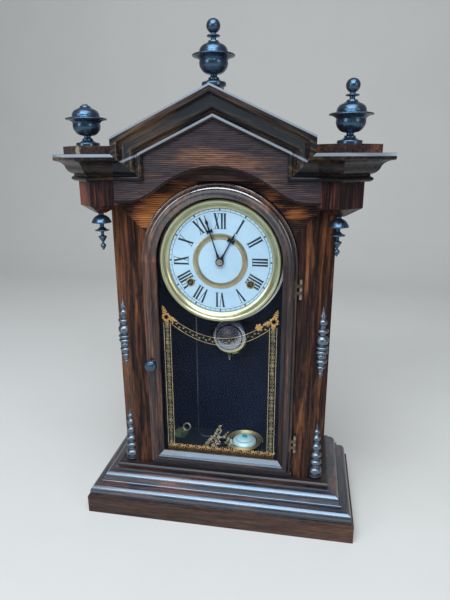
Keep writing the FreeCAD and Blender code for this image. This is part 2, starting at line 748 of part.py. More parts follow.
def make_top_ornaments():
    reach = corner_half_diagonal + blocking_overhang * math.sqrt(2)
    side_y = corner_y + (corner_x + reach - crown_side_x - blocking_overhang)
    front_y = frieze_front - blocking_overhang
    inner_x = corner_x - (front_y - (corner_y - reach))
    shoulder = gable_return_x + cornice_height
    back = back_board_front + back_board_thickness
    plan = [(shoulder, front_y), (inner_x, front_y), (corner_x, corner_y - reach),
            (corner_x + reach, corner_y), (crown_side_x + blocking_overhang, side_y),
            (crown_side_x + blocking_overhang, back), (shoulder, back)]
    block = plan_prism(straight(plan), crown_top, blocking_top)
    save("blocking_courses", block, mirrored(block))
    low = corner_half_diagonal
    base = crown_bottom - corner_block_height
    square = [(corner_x - low, corner_y), (corner_x, corner_y - low), (corner_x + low, corner_y),
              (corner_x, corner_y + low)]
    solid = plan_prism(straight(square), base, crown_bottom)
    small = corner_taper_half_diagonal
    wires = []
    for size, height in ((low, base), (small, base - corner_taper_height)):
        points = [Vector(corner_x - size, corner_y, height), Vector(corner_x, corner_y - size, height),
                  Vector(corner_x + size, corner_y, height), Vector(corner_x, corner_y + size, height)]
        wires.append(Part.makePolygon(points + points[:1]))
    solid = solid.fuse(Part.makeLoft(wires, True, True)).removeSplitter()
    save("corner_blocks", solid, mirrored(solid))
    bottom = base - corner_taper_height - drop_length
    drop = turned(drop_shares, drop_radius, drop_length, Vector(corner_x, corner_y, bottom))
    save("corner_drops", drop, mirrored(drop))
    whole = turned(finial_shares, side_finial_radius, side_finial_height,
                   Vector(finial_x, finial_y, blocking_top))
    save("finial_right", whole)
    kept = [point for point in finial_shares if point[1] <= broken_finial_share]
    kept[-1] = (kept[-1][0], kept[-1][1], 0.0)
    left = turned(kept, side_finial_radius, side_finial_height,
                  Vector(-finial_x, finial_y, blocking_top))
    save("finial_left", left)
    save("finial_centre", turned(finial_shares, centre_finial_radius, centre_finial_height,
                                 Vector(0, centre_finial_y, apex_outer)))


def half_turning(shares, radius, length, z):
    x = (case_half_width + cant_inner_half_width) / 2
    y = (cant_outer_y + case_front) / 2
    solid = turned(shares, radius, length, Vector(x, y, z))
    return solid.common(half_space(Vector(x, y, z), cant_normal))


def make_split_turnings():
    upper = half_turning(upper_turning_shares, upper_turning_radius, upper_turning_length,
                         upper_turning_bottom)
    lower = half_turning(lower_turning_shares, lower_turning_radius, lower_turning_length,
                         lower_turning_bottom)
    save("split_turnings", upper, mirrored(upper), lower, mirrored(lower))


def door_profile():
    """Points across the door frame: out from its inner edge, and up towards the front."""
    points = [(out * door_width, up * door_thickness, bulge) for out, up, bulge in door_shares]
    points += [(0.0, rabbet_depth, 0.0), (rabbet_width, rabbet_depth, 0.0), (rabbet_width, 0.0, 0.0)]
    return points


def make_door():
    profile = door_profile()
    front = Vector(0, -1, 0)
    bottom = door_bottom + door_width
    left_low = Vector(-door_inner_radius, door_back, bottom)
    right_low = Vector(door_inner_radius, door_back, bottom)
    right_high = Vector(door_inner_radius, door_back, dial_height)
    rail = run_of_moulding(profile, left_low + Vector(0, 0, door_width), left_low, right_low,
                           right_high, front)
    stile = run_of_moulding(profile, left_low, right_low, right_high, None, front)
    face = outline_face(profile, lambda u, v: right_high + Vector(u, -v, 0))
    arch = face.revolve(Vector(0, door_back, dial_height), Vector(0, -1, 0), 180)
    hole = disc(knob_shank_radius + running_gap, knob_x, knob_height, door_back - door_thickness - overrun,
                door_back + overrun)
    seat = door_back - door_thickness * knob_seat_share
    flat = disc(knob_radius, knob_x, knob_height, door_back - door_thickness - overrun, seat)
    save("door_bottom_rail", rail)
    let_in = [hinge_plate(z, hinge_knuckle_gap) for z in hinge_bottoms]
    knuckle_room = [rod(Vector(hinge_axis_x, hinge_axis_y, z - overrun),
                        Vector(hinge_axis_x, hinge_axis_y, z + hinge_height + overrun),
                        hinge_barrel_radius + hinge_knuckle_gap) for z in hinge_bottoms]
    save("door_stile_right", stile.cut(let_in[0].multiFuse(let_in[1:] + knuckle_room)))
    save("door_stile_left", mirrored(stile).cut(hole).cut(flat))
    save("door_arch", arch)
    radius = door_inner_radius + rabbet_width - glass_side_gap
    low = bottom - rabbet_width + glass_side_gap
    glass_front = door_back - rabbet_depth
    save("door_glass", front_prism(arch_outline(radius, low), glass_front, glass_front + glass_thickness))
    knob = turned(knob_shares, knob_radius, knob_length, Vector(knob_x, seat, knob_height), front)
    latch_y = frame_back + latch_gap
    shank = rod(Vector(knob_x, seat - overrun, knob_height),
                Vector(knob_x, latch_y + latch_thickness, knob_height), knob_shank_radius)
    half = latch_width / 2
    latch = box(knob_x - half, knob_x + half, latch_y, latch_y + latch_thickness,
                knob_height - half, knob_height + latch_length)
    save("door_knob", knob.multiFuse([shank, latch]).removeSplitter())


def hinge_plate(bottom, extra):
    """The door's leaf, let into the bead at the door's outer edge."""
    bead_front = door_back - door_thickness * door_shares[1][1]
    return box(door_outer_radius - hinge_leaf_reach, door_outer_radius - hinge_knuckle_gap + extra,
               hinge_axis_y - hinge_barrel_radius, bead_front, bottom, bottom + hinge_height)


def make_hinges():
    bead_front = door_back - door_thickness * door_shares[1][1]
    axis_y = hinge_axis_y
    frame_leaves = []
    door_leaves = []
    pins = []
    for bottom in hinge_bottoms:
        knuckle = (hinge_height - (knuckle_count - 1) * hinge_knuckle_gap) / knuckle_count
        bore = rod(Vector(hinge_axis_x, axis_y, bottom - overrun),
                   Vector(hinge_axis_x, axis_y, bottom + hinge_height + overrun),
                   hinge_pin_radius + running_gap)
        fixed = []
        moving = []
        for index in range(knuckle_count):
            z0 = bottom + index * (knuckle + hinge_knuckle_gap)
            z1 = z0 + knuckle
            barrel = rod(Vector(hinge_axis_x, axis_y, z0), Vector(hinge_axis_x, axis_y, z1),
                         hinge_barrel_radius)
            if index % 2 == 0:
                tab = box(hinge_axis_x - hinge_barrel_radius / 2, hinge_axis_x + hinge_barrel_radius,
                          axis_y, case_front - hinge_leaf_thickness, z0, z1)
                fixed.append(barrel.fuse(tab))
            else:
                tab = box(door_outer_radius - hinge_leaf_reach, hinge_axis_x,
                          axis_y - hinge_barrel_radius, bead_front, z0, z1)
                moving.append(barrel.fuse(tab))
        leaf = box(hinge_axis_x - hinge_barrel_radius, hinge_axis_x + hinge_frame_leaf_reach,
                   case_front - hinge_leaf_thickness, case_front, bottom, bottom + hinge_height)
        frame_leaves.append(leaf.multiFuse(fixed).cut(bore).removeSplitter())
        door_leaves.append(hinge_plate(bottom, 0).multiFuse(moving).cut(bore).removeSplitter())
        pin = rod(Vector(hinge_axis_x, axis_y, bottom - hinge_pin_head_height),
                  Vector(hinge_axis_x, axis_y, bottom + hinge_height + hinge_pin_head_height),
                  hinge_pin_radius)
        heads = [rod(Vector(hinge_axis_x, axis_y, z),
                     Vector(hinge_axis_x, axis_y, z + hinge_pin_head_height), hinge_pin_head_radius)
                 for z in (bottom - hinge_pin_head_height, bottom + hinge_height)]
        pins.append(pin.multiFuse(heads).removeSplitter())
    save("hinge_frame_leaves", *frame_leaves)
    save("hinge_door_leaves", *door_leaves)
    save("hinge_pins", *pins)
    print("hinge axis at x", round(hinge_axis_x, 3), "y", round(axis_y, 3))


def make_dial():
    front = -dial_plane
    sheet = pan_sheet
    face_back = front - dial_thickness
    flange = face_back - pan_depth
    outline = [(dial_centre_hole_radius, face_back - sheet), (dial_radius - sheet, face_back - sheet),
               (dial_radius - sheet, flange), (pan_radius, flange), (pan_radius, flange + sheet + pan_lip),
               (pan_radius - pan_lip, flange + sheet + pan_lip), (pan_radius - pan_lip, flange + sheet),
               (dial_radius, flange + sheet), (dial_radius, face_back),
               (dial_centre_hole_radius, face_back)]
    pan = front_ring(straight(outline), 0, dial_height)
    plate = front_ring(straight([(dial_centre_hole_radius, face_back), (dial_radius, face_back),
                                 (dial_radius, front), (dial_centre_hole_radius, front)]), 0, dial_height)
    winding_z = dial_height - winding_drop
    for x in (-winding_x, winding_x):
        hole = disc(winding_hole_radius, x, winding_z, dial_plane - overrun, -face_back + sheet + overrun)
        pan = pan.cut(hole)
        plate = plate.cut(hole)
    save("dial_pan", pan)
    save("dial_face", plate)
    width = bezel_outer_radius - bezel_inner_radius
    crest = [(bezel_inner_radius + share * width, front + height * bezel_depth, bulge)
             for share, height, bulge in bezel_shares]
    wall = bezel_outer_radius - pan_sheet
    ring = [(bezel_inner_radius, front, 0.0), (wall, front, 0.0), (wall, flange + sheet, 0.0),
            (bezel_outer_radius, flange + sheet, 0.0)] + crest
    save("dial_bezel", front_ring(ring, 0, dial_height))
    ring_edge = front + inner_ring_height / 2
    inner = [(inner_ring_inner_radius, front, 0.0), (inner_ring_outer_radius, front, 0.0),
             (inner_ring_outer_radius, ring_edge, inner_ring_bulge_share),
             (inner_ring_inner_radius, ring_edge, 0.0)]
    save("dial_inner_ring", front_ring(inner, 0, dial_height))
    neck = winding_hole_radius - grommet_side_gap
    outline = [(grommet_bore_radius, face_back - sheet), (neck, face_back - sheet), (neck, front),
               (grommet_flange_radius, front), (grommet_flange_radius, front + grommet_flange_height / 2),
               (grommet_bore_radius, front + grommet_flange_height)]
    rings = [front_ring(straight(outline), x, winding_z) for x in (-winding_x, winding_x)]
    save("winding_grommets", *rings)


def hand_shape(shares, length, y0, y1, bore, angle):
    right = [(half * length, along * length) for half, along in shares]
    left = [(-u, v) for u, v in reversed(right)]
    moved = [(u, dial_height + v) for u, v in right + left]
    arm = front_prism(straight(moved), y0, y1)
    hub = disc(hand_hub_radius, 0, dial_height, y0, y1)
    hand = arm.fuse(hub).cut(disc(bore, 0, dial_height, y0 - overrun, y1 + overrun)).removeSplitter()
    hand.rotate(Vector(0, 0, dial_height), Vector(0, 1, 0), angle)
    return hand


def toothed_wheel(teeth, tip, root, place, y0, y1, phase, tip_share, root_share):
    """A flat wheel; one tooth is centred on the phase angle, seen from the front."""
    points = []
    pitch_angle = 2 * math.pi / teeth
    for index in range(teeth):
        middle = math.radians(phase) + index * pitch_angle
        for radius, share in ((root, -root_share), (tip, -tip_share), (tip, tip_share),
                              (root, root_share)):
            angle = middle + share * pitch_angle
            points.append((place[0] + radius * math.cos(angle), place[1] + radius * math.sin(angle)))
    return front_prism(straight(points), y0, y1)


def motion_wheel(teeth, place, y0, y1, phase):
    pitch = motion_module * teeth / 2
    return toothed_wheel(teeth, pitch + motion_module * tip_height_share, pitch - motion_module, place,
                         y0, y1, phase, wheel_tip_share, wheel_root_share)


def train_wheel(teeth, module, place, layer, thickness, meets, hub=wheel_hub_radius):
    """A wheel with spokes and a collet; one tooth points at the pinion that it meets."""
    y0 = cage_front + layer
    y1 = y0 + thickness
    pitch = module * teeth / 2
    root = pitch - module
    blank = toothed_wheel(teeth, pitch + module * tip_height_share, root, place, y0, y1,
                          direction(place, meets), wheel_tip_share, wheel_root_share)
    x, z = place
    ring = disc(root - wheel_rim, x, z, y0 - overrun, y1 + overrun)
    ring = ring.cut(disc(hub, x, z, y0 - overrun, y1 + overrun))
    half = spoke_width / 2
    for index in range(spoke_count):
        bar = box(x - half, x + half, y0 - overrun, y1 + overrun, z, z + root)
        bar.rotate(Vector(x, 0, z), Vector(0, 1, 0), index * 360 / spoke_count)
        ring = ring.cut(bar)
    collet = disc(collet_radius, x, z, y0 - collet_length, y1 + collet_length)
    return [blank.cut(ring), collet]


def lantern_pinion(pins, module, place, layer, thickness, meets):
    """Round pins between two shrouds; a gap points at the wheel that it meets."""
    x, z = place
    y0 = cage_front + layer - pinion_margin
    y1 = cage_front + layer + thickness + pinion_margin
    pitch = module * pins / 2
    parts = [disc(pitch + module, x, z, y0 - module, y0), disc(pitch + module, x, z, y1, y1 + module)]
    gap_angle = math.radians(direction(place, meets))
    for index in range(pins):
        angle = gap_angle + (2 * index + 1) * math.pi / pins
        parts.append(disc(module * pin_share, x + pitch * math.cos(angle), z + pitch * math.sin(angle),
                          y0 - module * pin_share, y1 + module * pin_share))
    return parts


def cage_arbor(place):
    x, z = place
    return [disc(arbor_radius, x, z, cage_front + end_shake, back_plate_y - end_shake),
            disc(pivot_radius, x, z, front_plate_y - pivot_proud, movement_back + pivot_proud)]


def joined(parts):
    return parts[0].multiFuse(parts[1:])


def circle_meet(first, first_radius, second, second_radius, side):
    """A point at given distances from two others, on the chosen side of their line."""
    dx = second[0] - first[0]
    dz = second[1] - first[1]
    apart = math.hypot(dx, dz)
    along = (first_radius ** 2 - second_radius ** 2 + apart ** 2) / (2 * apart)
    across = side * math.sqrt(first_radius ** 2 - along ** 2)
    return (first[0] + (along * dx - across * dz) / apart, first[1] + (along * dz + across * dx) / apart)


def direction(first, second):
    return math.degrees(math.atan2(second[1] - first[1], second[0] - first[0]))


def opposite(place):
    return (-place[0], place[1])


def gear_distance(module, wheel, pinion):
    return module * (wheel + pinion) / 2


# Places of the arbors, seen from the front
centre_place = (0.0, dial_height)
time_place = (winding_x, dial_height - winding_drop)
strike_place = opposite(time_place)
second_place = circle_meet(centre_place, gear_distance(second_module, second_teeth, low_pinion_pins),
                           time_place, gear_distance(great_module, great_teeth, low_pinion_pins), 1)
strike_second_place = opposite(second_place)
escape_place = (0.0, dial_height + escape_rise)
third_place = circle_meet(centre_place, gear_distance(centre_module, centre_teeth, high_pinion_pins),
                          escape_place, gear_distance(third_module, third_teeth, high_pinion_pins), 1)
fly_distance = gear_distance(strike_module, strike_teeth, high_pinion_pins)
fly_place = (strike_second_place[0] + fly_distance * math.cos(math.radians(fly_direction)),
             strike_second_place[1] + fly_distance * math.sin(math.radians(fly_direction)))
anchor_place = (0.0, anchor_height)
minute_place = (gear_distance(motion_module, cannon_teeth, minute_teeth), dial_height)
hammer_place = (hammer_x, dial_height - hammer_pivot_drop)
low_pillar_z = dial_height - winding_drop - spring_radius + spring_strip / 2


def both_sides(place):
    """The two places of a pair, from a place measured from the middle of the dial."""
    return [(place[0], dial_height + place[1]), (-place[0], dial_height + place[1])]


def pillar_places():
    low = [(low_pillar_x, low_pillar_z), (-low_pillar_x, low_pillar_z)]
    return low + both_sides(middle_pillar) + both_sides(high_pillar)


def make_hands():
    front = dial_plane - hour_hand_gap
    y1 = front
    y0 = front - hand_thickness
    hand = hand_shape(hour_hand_shares, hour_hand_length, y0, y1, minute_arbor_radius + hour_pipe_bore_gap,
                      hour_angle)
    bore = minute_arbor_radius + hour_pipe_bore_gap
    wheel_y0 = front_plate_y - hour_wheel_layer - thin_wheel_thickness
    wheel_y1 = front_plate_y - hour_wheel_layer
    wheel = motion_wheel(hour_teeth, centre_place, wheel_y0, wheel_y1,
                         direction(centre_place, minute_place))
    pipe = disc(bore + hour_pipe_wall, 0, dial_height, y0, wheel_y1)
    hole = disc(bore, 0, dial_height, y0 - overrun, wheel_y1 + overrun)
    save("hour_hand", hand.fuse(pipe).fuse(wheel).cut(hole).removeSplitter())
    y1 = y0 - hand_spacing
    y0 = y1 - hand_thickness
    save("minute_hand", hand_shape(minute_hand_shares, minute_hand_length, y0, y1, minute_arbor_radius,
                                   minute_angle))
    nut = disc(hand_nut_radius, 0, dial_height, y0 - hand_nut_height, y0)
    save("hand_nut", nut.cut(disc(minute_arbor_radius, 0, dial_height, y0 - hand_nut_height - overrun,
                                  y0 + overrun)))
    return y0 - hand_nut_height


def make_centre_arbor(front):
    parts = [disc(minute_arbor_radius, 0, dial_height, front, back_plate_y - end_shake),
             disc(pivot_radius, 0, dial_height, back_plate_y - end_shake, movement_back + pivot_proud)]
    cannon_y1 = front_plate_y - cannon_layer
    phase = direction(centre_place, minute_place) + 180 / cannon_teeth
    parts.append(motion_wheel(cannon_teeth, centre_place, cannon_y1 - cannon_length, cannon_y1, phase))
    parts += train_wheel(centre_teeth, centre_module, centre_place, centre_layer, thin_wheel_thickness,
                         third_place)
    parts += lantern_pinion(low_pinion_pins, second_module, centre_place, second_layer, wheel_thickness,
                            second_place)
    save("centre_wheel", joined(parts))


def make_minute_wheel():
    y1 = front_plate_y - minute_wheel_layer
    y0 = y1 - thin_wheel_thickness
    x, z = minute_place
    towards_centre = direction(minute_place, centre_place)
    wheel = motion_wheel(minute_teeth, minute_place, y0, y1, towards_centre)
    pinion_y0 = front_plate_y - hour_wheel_layer - thin_wheel_thickness - end_shake
    pinion = motion_wheel(minute_pinion_teeth, minute_place, pinion_y0, y0,
                          towards_centre + 180 / minute_pinion_teeth)
    hole = disc(arbor_radius + running_gap, x, z, pinion_y0 - overrun, y1 + overrun)
    save("minute_wheel", wheel.fuse(pinion).cut(hole))
    return pinion_y0


def great_wheel(place, meets):
    parts = train_wheel(great_teeth, great_module, place, great_layer, great_wheel_thickness, meets,
                        great_wheel_hub_radius)[:1]
    x, z = place
    y0 = cage_front + great_layer
    start = ratchet_radius + click_gap
    click = box(x + start, x + start + click_width, y0 - ratchet_thickness, y0, z - click_length / 2,
                z + click_length / 2)
    bore = disc(winding_arbor_radius + running_gap, x, z, y0 - overrun,
                y0 + great_wheel_thickness + overrun)
    return parts[0].fuse(click).cut(bore)


def winding_arbor(place):
    x, z = place
    half = winding_square / 2
    square_end = winding_end_y + winding_square_length
    square = box(x - half, x + half, winding_end_y, square_end, z - half, z + half)
    shaft = disc(winding_arbor_radius, x, z, square_end, back_plate_y - end_shake)
    pivot = disc(winding_pivot_radius, x, z, back_plate_y - end_shake, movement_back + pivot_proud)
    collar_y0 = cage_front + end_shake
    collar = disc(winding_collar_radius, x, z, collar_y0, collar_y0 + winding_collar_height)
    ratchet_y1 = cage_front + great_layer - end_shake
    ratchet = toothed_wheel(ratchet_teeth, ratchet_radius, ratchet_radius - ratchet_depth, place,
                            ratchet_y1 - ratchet_thickness, ratchet_y1, 0, escape_tip_share,
                            escape_root_share)
    return joined([shaft, square, pivot, collar, ratchet])


def make_trains():
    save("time_great_wheel", great_wheel(time_place, second_place))
    save("strike_great_wheel", great_wheel(strike_place, strike_second_place))
    save("time_winding_arbor", winding_arbor(time_place))
    save("strike_winding_arbor", winding_arbor(strike_place))
    second = cage_arbor(second_place)
    second += train_wheel(second_teeth, second_module, second_place, second_layer, wheel_thickness,
                          centre_place)
    second += lantern_pinion(low_pinion_pins, great_module, second_place, great_layer,
                             great_wheel_thickness, time_place)
    save("time_second_wheel", joined(second))
    strike = cage_arbor(strike_second_place)
    strike += train_wheel(strike_teeth, strike_module, strike_second_place, second_layer, wheel_thickness,
                          fly_place)
    strike += lantern_pinion(low_pinion_pins, great_module, strike_second_place, great_layer,
                             great_wheel_thickness, strike_place)
    save("strike_second_wheel", joined(strike))
    third = cage_arbor(third_place)
    third += train_wheel(third_teeth, third_module, third_place, third_layer, thin_wheel_thickness,
                         escape_place)
    third += lantern_pinion(high_pinion_pins, centre_module, third_place, centre_layer,
                            thin_wheel_thickness, centre_place)
    save("third_wheel", joined(third))
    escape = cage_arbor(escape_place)
    y0 = cage_front + escape_layer
    y1 = y0 + thin_wheel_thickness
    x, z = escape_place
    escape.append(toothed_wheel(escape_teeth, escape_radius, escape_radius - escape_tooth_depth,
                                escape_place, y0, y1, 90, escape_tip_share, escape_root_share))
    escape.append(disc(collet_radius, x, z, y0 - collet_length, y1 + collet_length))
    escape += lantern_pinion(high_pinion_pins, third_module, escape_place, third_layer,
                             thin_wheel_thickness, third_place)
    save("escape_wheel", joined(escape))
    fly = cage_arbor(fly_place)
    fly += lantern_pinion(high_pinion_pins, strike_module, fly_place, second_layer, wheel_thickness,
                          strike_second_place)
    x, z = fly_place
    y0 = cage_front + fly_layer
    half = fly_thickness / 2
    fly.append(box(x - fly_half_span, x + fly_half_span, y0, y0 + fly_length, z - half, z + half))
    fly.append(disc(collet_radius, x, z, y0, y0 + fly_length))
    save("strike_fly", joined(fly))


def make_anchor():
    x, z = anchor_place
    parts = [disc(arbor_radius, x, z, cage_front + end_shake, back_plate_y - end_shake),
             disc(pivot_radius, x, z, front_plate_y - pivot_proud, cage_front + end_shake)]
    crutch_y0 = movement_back + crutch_gap
    crutch_y1 = crutch_y0 + crutch_thickness
    parts.append(disc(arbor_radius, x, z, back_plate_y - end_shake, crutch_y1))
    inner = escape_radius + pallet_gap
    outer = inner + anchor_thickness
    angle = math.radians(anchor_reach)
    y0 = cage_front + escape_layer
    y1 = y0 + thin_wheel_thickness
    parts.append(anchor_bow(inner, outer, angle, y0, y1))
    parts.append(disc(anchor_hub_radius, x, z, y0 - collet_length, y1 + collet_length)
                 .cut(disc(inner, *escape_place, y0 - overrun, y1 + overrun)))
    half = crutch_width / 2
    fork_top = z - crutch_length + fork_height
    parts.append(box(x - half, x + half, crutch_y0, crutch_y1, fork_top - fork_height, z))
    fork_inner = pendulum_rod_radius + fork_gap
    fork_outer = fork_inner + fork_thickness
    parts.append(box(x - fork_outer, x + fork_outer, crutch_y0, crutch_y1, fork_top - fork_height,
                     fork_top))
    fork_end = pendulum_y + pendulum_eye_thickness
    for side in (-1, 1):
        edges = sorted((side * fork_inner, side * fork_outer))
        parts.append(box(x + edges[0], x + edges[1], crutch_y0, fork_end, fork_top - fork_height, fork_top))
    save("anchor_crutch", joined(parts))


def anchor_bow(inner, outer, angle, y0, y1):
    """A strip bent round the escape wheel, as wide as the angle to each side."""
    x, z = escape_place

    def at(radius, turn):
        return Vector(x + radius * math.sin(turn), y0, z + radius * math.cos(turn))

    edges = [Part.Arc(at(inner, -angle), at(inner, 0), at(inner, angle)).toShape(),
             Part.LineSegment(at(inner, angle), at(outer, angle)).toShape(),
             Part.Arc(at(outer, angle), at(outer, 0), at(outer, -angle)).toShape(),
             Part.LineSegment(at(outer, -angle), at(inner, -angle)).toShape()]
    return Part.Face(Part.Wire(edges)).extrude(Vector(0, y1 - y0, 0))


def make_plates(stud_front):
    width = plate_half_width
    bottom = dial_height + plate_bottom
    top = dial_height + plate_top
    slant = width - plate_chamfer_width
    shoulder = top - plate_chamfer_height
    outline = straight([(-width, bottom), (width, bottom), (width, shoulder), (slant, top), (-slant, top),
                        (-width, shoulder)])
    front = front_prism(outline, front_plate_y, cage_front)
    back = front_prism(outline, back_plate_y, movement_back)
    pivots = (second_place, strike_second_place, third_place, escape_place, fly_place)
    gap = running_gap
    front_holes = [(place, pivot_radius + gap) for place in pivots + (anchor_place,)]
    front_holes += [(centre_place, minute_arbor_radius + gap), (time_place, winding_arbor_radius + gap),
                    (strike_place, winding_arbor_radius + gap)]
    back_holes = [(place, pivot_radius + gap) for place in pivots + (centre_place,)]
    back_holes += [(anchor_place, arbor_radius + gap), (time_place, winding_pivot_radius + gap),
                   (strike_place, winding_pivot_radius + gap)]
    shared = [(place, pillar_tenon_radius) for place in pillar_places()]
    shared.append(((0.0, dial_height - plate_window_drop), plate_window_radius))
    for place, radius in front_holes + shared:
        front = front.cut(disc(radius, *place, front_plate_y - overrun, cage_front + overrun))
    for place, radius in back_holes + shared:
        back = back.cut(disc(radius, *place, back_plate_y - overrun, movement_back + overrun))
    front = front.fuse(disc(arbor_radius, *minute_place, stud_front - stud_end_gap, front_plate_y))
    hub_y0 = back_plate_y - hammer_hub_gap - hammer_hub_length
    back = back.fuse(disc(arbor_radius, *hammer_place, hub_y0 - end_shake, back_plate_y))
    x, z = anchor_place
    pin_end = pendulum_y + pendulum_eye_thickness / 2 + end_shake
    cock_back = pin_end + cock_thickness
    half = cock_half_width
    arm = box(x - half, x + half, movement_back, cock_back, z + cock_rise, z + cock_rise + cock_thickness)
    drop = box(x - half, x + half, pin_end, cock_back, z - half, z + cock_rise + cock_thickness)
    pin = disc(suspension_pin_radius, x, z, pin_end - suspension_pin_length, pin_end)
    save("movement_plates", front, back.multiFuse([arm, drop, pin]))


def make_pillars():
    solids = []
    for place in pillar_places():
        body = disc(pillar_radius, *place, cage_front, back_plate_y)
        tenon = disc(pillar_tenon_radius, *place, front_plate_y - pillar_nut_height,
                     movement_back + pillar_nut_height)
        nuts = [disc(pillar_nut_radius, *place, front_plate_y - pillar_nut_height, front_plate_y),
                disc(pillar_nut_radius, *place, movement_back, movement_back + pillar_nut_height)]
        solids.append(joined([body, tenon] + nuts).removeSplitter())
    for place in both_sides(low_leg) + both_sides(high_leg):
        solids.append(disc(leg_radius, *place, movement_back, back_board_front))
    pan_back = dial_plane + dial_thickness + pan_sheet
    for place in both_sides(low_dial_foot) + both_sides(high_dial_foot):
        solids.append(disc(dial_foot_radius, *place, pan_back, front_plate_y))
    save("movement_pillars", *solids)


def make_springs():
    springs = []
    y0 = cage_front + spring_layer
    y1 = y0 + spring_depth
    for place, pillar_x in ((time_place, low_pillar_x), (strike_place, -low_pillar_x)):
        x, z = place
        coil = disc(spring_radius, x, z, y0, y1)
        strip_bottom = low_pillar_z - spring_strip / 2
        strip = box(min(x, pillar_x), max(x, pillar_x), y0, y1, strip_bottom, strip_bottom + spring_strip)
        eye = disc(pillar_radius + spring_strip, pillar_x, low_pillar_z, y0, y1)
        spring = coil.fuse(strip).fuse(eye)
        spring = spring.cut(disc(pillar_radius, pillar_x, low_pillar_z, y0 - overrun, y1 + overrun))
        springs.append(spring.cut(disc(spring_hole_radius, x, z, y0 - overrun, y1 + overrun)))
    save("mainsprings", *springs)


def make_pendulum():
    top = anchor_height
    bore = suspension_pin_radius + running_gap
    half = pendulum_eye_thickness / 2
    eye = disc(pendulum_eye_radius, 0, top, pendulum_y - half, pendulum_y + half)
    long_rod = rod(Vector(0, pendulum_y, bob_height - pendulum_rod_tail), Vector(0, pendulum_y, top),
                   pendulum_rod_radius)
    hole = disc(bore, 0, top, pendulum_y - half - overrun, pendulum_y + half + overrun)
    save("pendulum_rod", eye.fuse(long_rod).cut(hole))
    bob = turned(bob_shares, bob_radius, bob_thickness,
                 Vector(0, pendulum_y + bob_thickness / 2, bob_height), Vector(0, -1, 0))
    bore_rod = rod(Vector(0, pendulum_y, bob_height - bob_radius - overrun),
                   Vector(0, pendulum_y, bob_height + bob_radius + overrun), pendulum_rod_radius)
    save("pendulum_bob", bob.cut(bore_rod))
    nut_top = bob_height - bob_radius - rating_nut_gap
    nut = rod(Vector(0, pendulum_y, nut_top - rating_nut_height), Vector(0, pendulum_y, nut_top),
              rating_nut_radius)
    nut_bore = rod(Vector(0, pendulum_y, nut_top - rating_nut_height - overrun),
                   Vector(0, pendulum_y, nut_top + overrun), pendulum_rod_radius + running_gap)
    save("rating_nut", nut.cut(nut_bore))


def swept_wire(edges, start, start_way, radius):
    ring = Part.Wire(Part.makeCircle(radius, start, start_way))
    return Part.Wire(edges).makePipeShell([ring], True, False)


def make_hammer():
    x, z = hammer_place
    hub_y1 = back_plate_y - hammer_hub_gap
    hub_y0 = hub_y1 - hammer_hub_length
    y = gong_y
    hub = disc(hammer_hub_radius, x, z, hub_y0, hub_y1)
    head_end = gong_x - gong_outer_radius - hammer_gap
    head_start = head_end - hammer_head_length
    low = floor_top + hammer_wire_height
    bend = hammer_wire_bend
    slant = bend * math.sqrt(0.5)
    start = Vector(x, y, z - arbor_radius - hammer_wire_radius - running_gap)
    turn_start = Vector(x, y, low + bend)
    turn_middle = Vector(x + bend - slant, y, low + bend - slant)
    turn_end = Vector(x + bend, y, low)
    end = Vector(head_start + hammer_wire_radius, y, low)
    edges = [Part.LineSegment(start, turn_start).toShape(),
             Part.Arc(turn_start, turn_middle, turn_end).toShape(),
             Part.LineSegment(turn_end, end).toShape()]
    wire = swept_wire(edges, start, Vector(0, 0, -1), hammer_wire_radius)
    head = rod(Vector(head_start, y, low), Vector(head_end, y, low), hammer_head_radius)
    bore = disc(arbor_radius + running_gap, x, z, hub_y0 - overrun, hub_y1 + overrun)
    save("strike_hammer", hub.multiFuse([wire, head]).cut(bore))


def make_gong():
    height = floor_top + gong_height
    step = gong_pitch / 2
    radius = gong_outer_radius - gong_wire_radius
    start = Vector(gong_x + radius, gong_y, height)
    edges = []
    samples = []
    turns = [math.pi * step_number / gap_test_steps for step_number in range(gap_test_steps + 1)]
    here = start
    for index in range(gong_half_turns):
        goes_left = index % 2 == 0
        centre = gong_x if goes_left else gong_x - step
        size = radius - index * step
        side = 1 if goes_left else -1
        middle = Vector(centre, gong_y + side * size, height)
        there = Vector(centre - side * size, gong_y, height)
        arc = Part.Arc(here, middle, there)
        edges.append(arc.toShape())
        samples.append([Vector(centre + side * size * math.cos(turn),
                               gong_y + side * size * math.sin(turn), 0) for turn in turns])
        here = there
    end = here - Vector(0, 2 * gong_wire_radius, 0)
    edges.append(Part.LineSegment(here, end).toShape())
    coil = swept_wire(edges, start, Vector(0, 1, 0), gong_wire_radius)
    save("gong_coil", coil)
    gaps = [(a - b).Length - 2 * gong_wire_radius for index in range(len(samples) - 2)
            for a in samples[index] for b in samples[index + 2]]
    print("least gap of the gong's coil to itself", round(min(gaps), 3))
    boss_x0 = here.x - gong_wire_radius
    boss_x1 = boss_x0 + gong_boss_width
    boss = box(boss_x0, boss_x1, end.y - gong_boss_length, end.y, floor_top, height + gong_wire_radius)
    foot = rod(Vector(gong_x, gong_y, floor_top), Vector(gong_x, gong_y, floor_top + gong_foot_height),
               gong_foot_radius)
    bar = box(boss_x0, gong_x, end.y - gong_boss_length, end.y, floor_top, floor_top + gong_bar_height)
    dome = turned(dome_shares, gong_dome_radius, gong_dome_height,
                  Vector(gong_x, gong_y, floor_top + gong_foot_height))
    save("gong_dome", joined([foot, bar, boss, dome]))


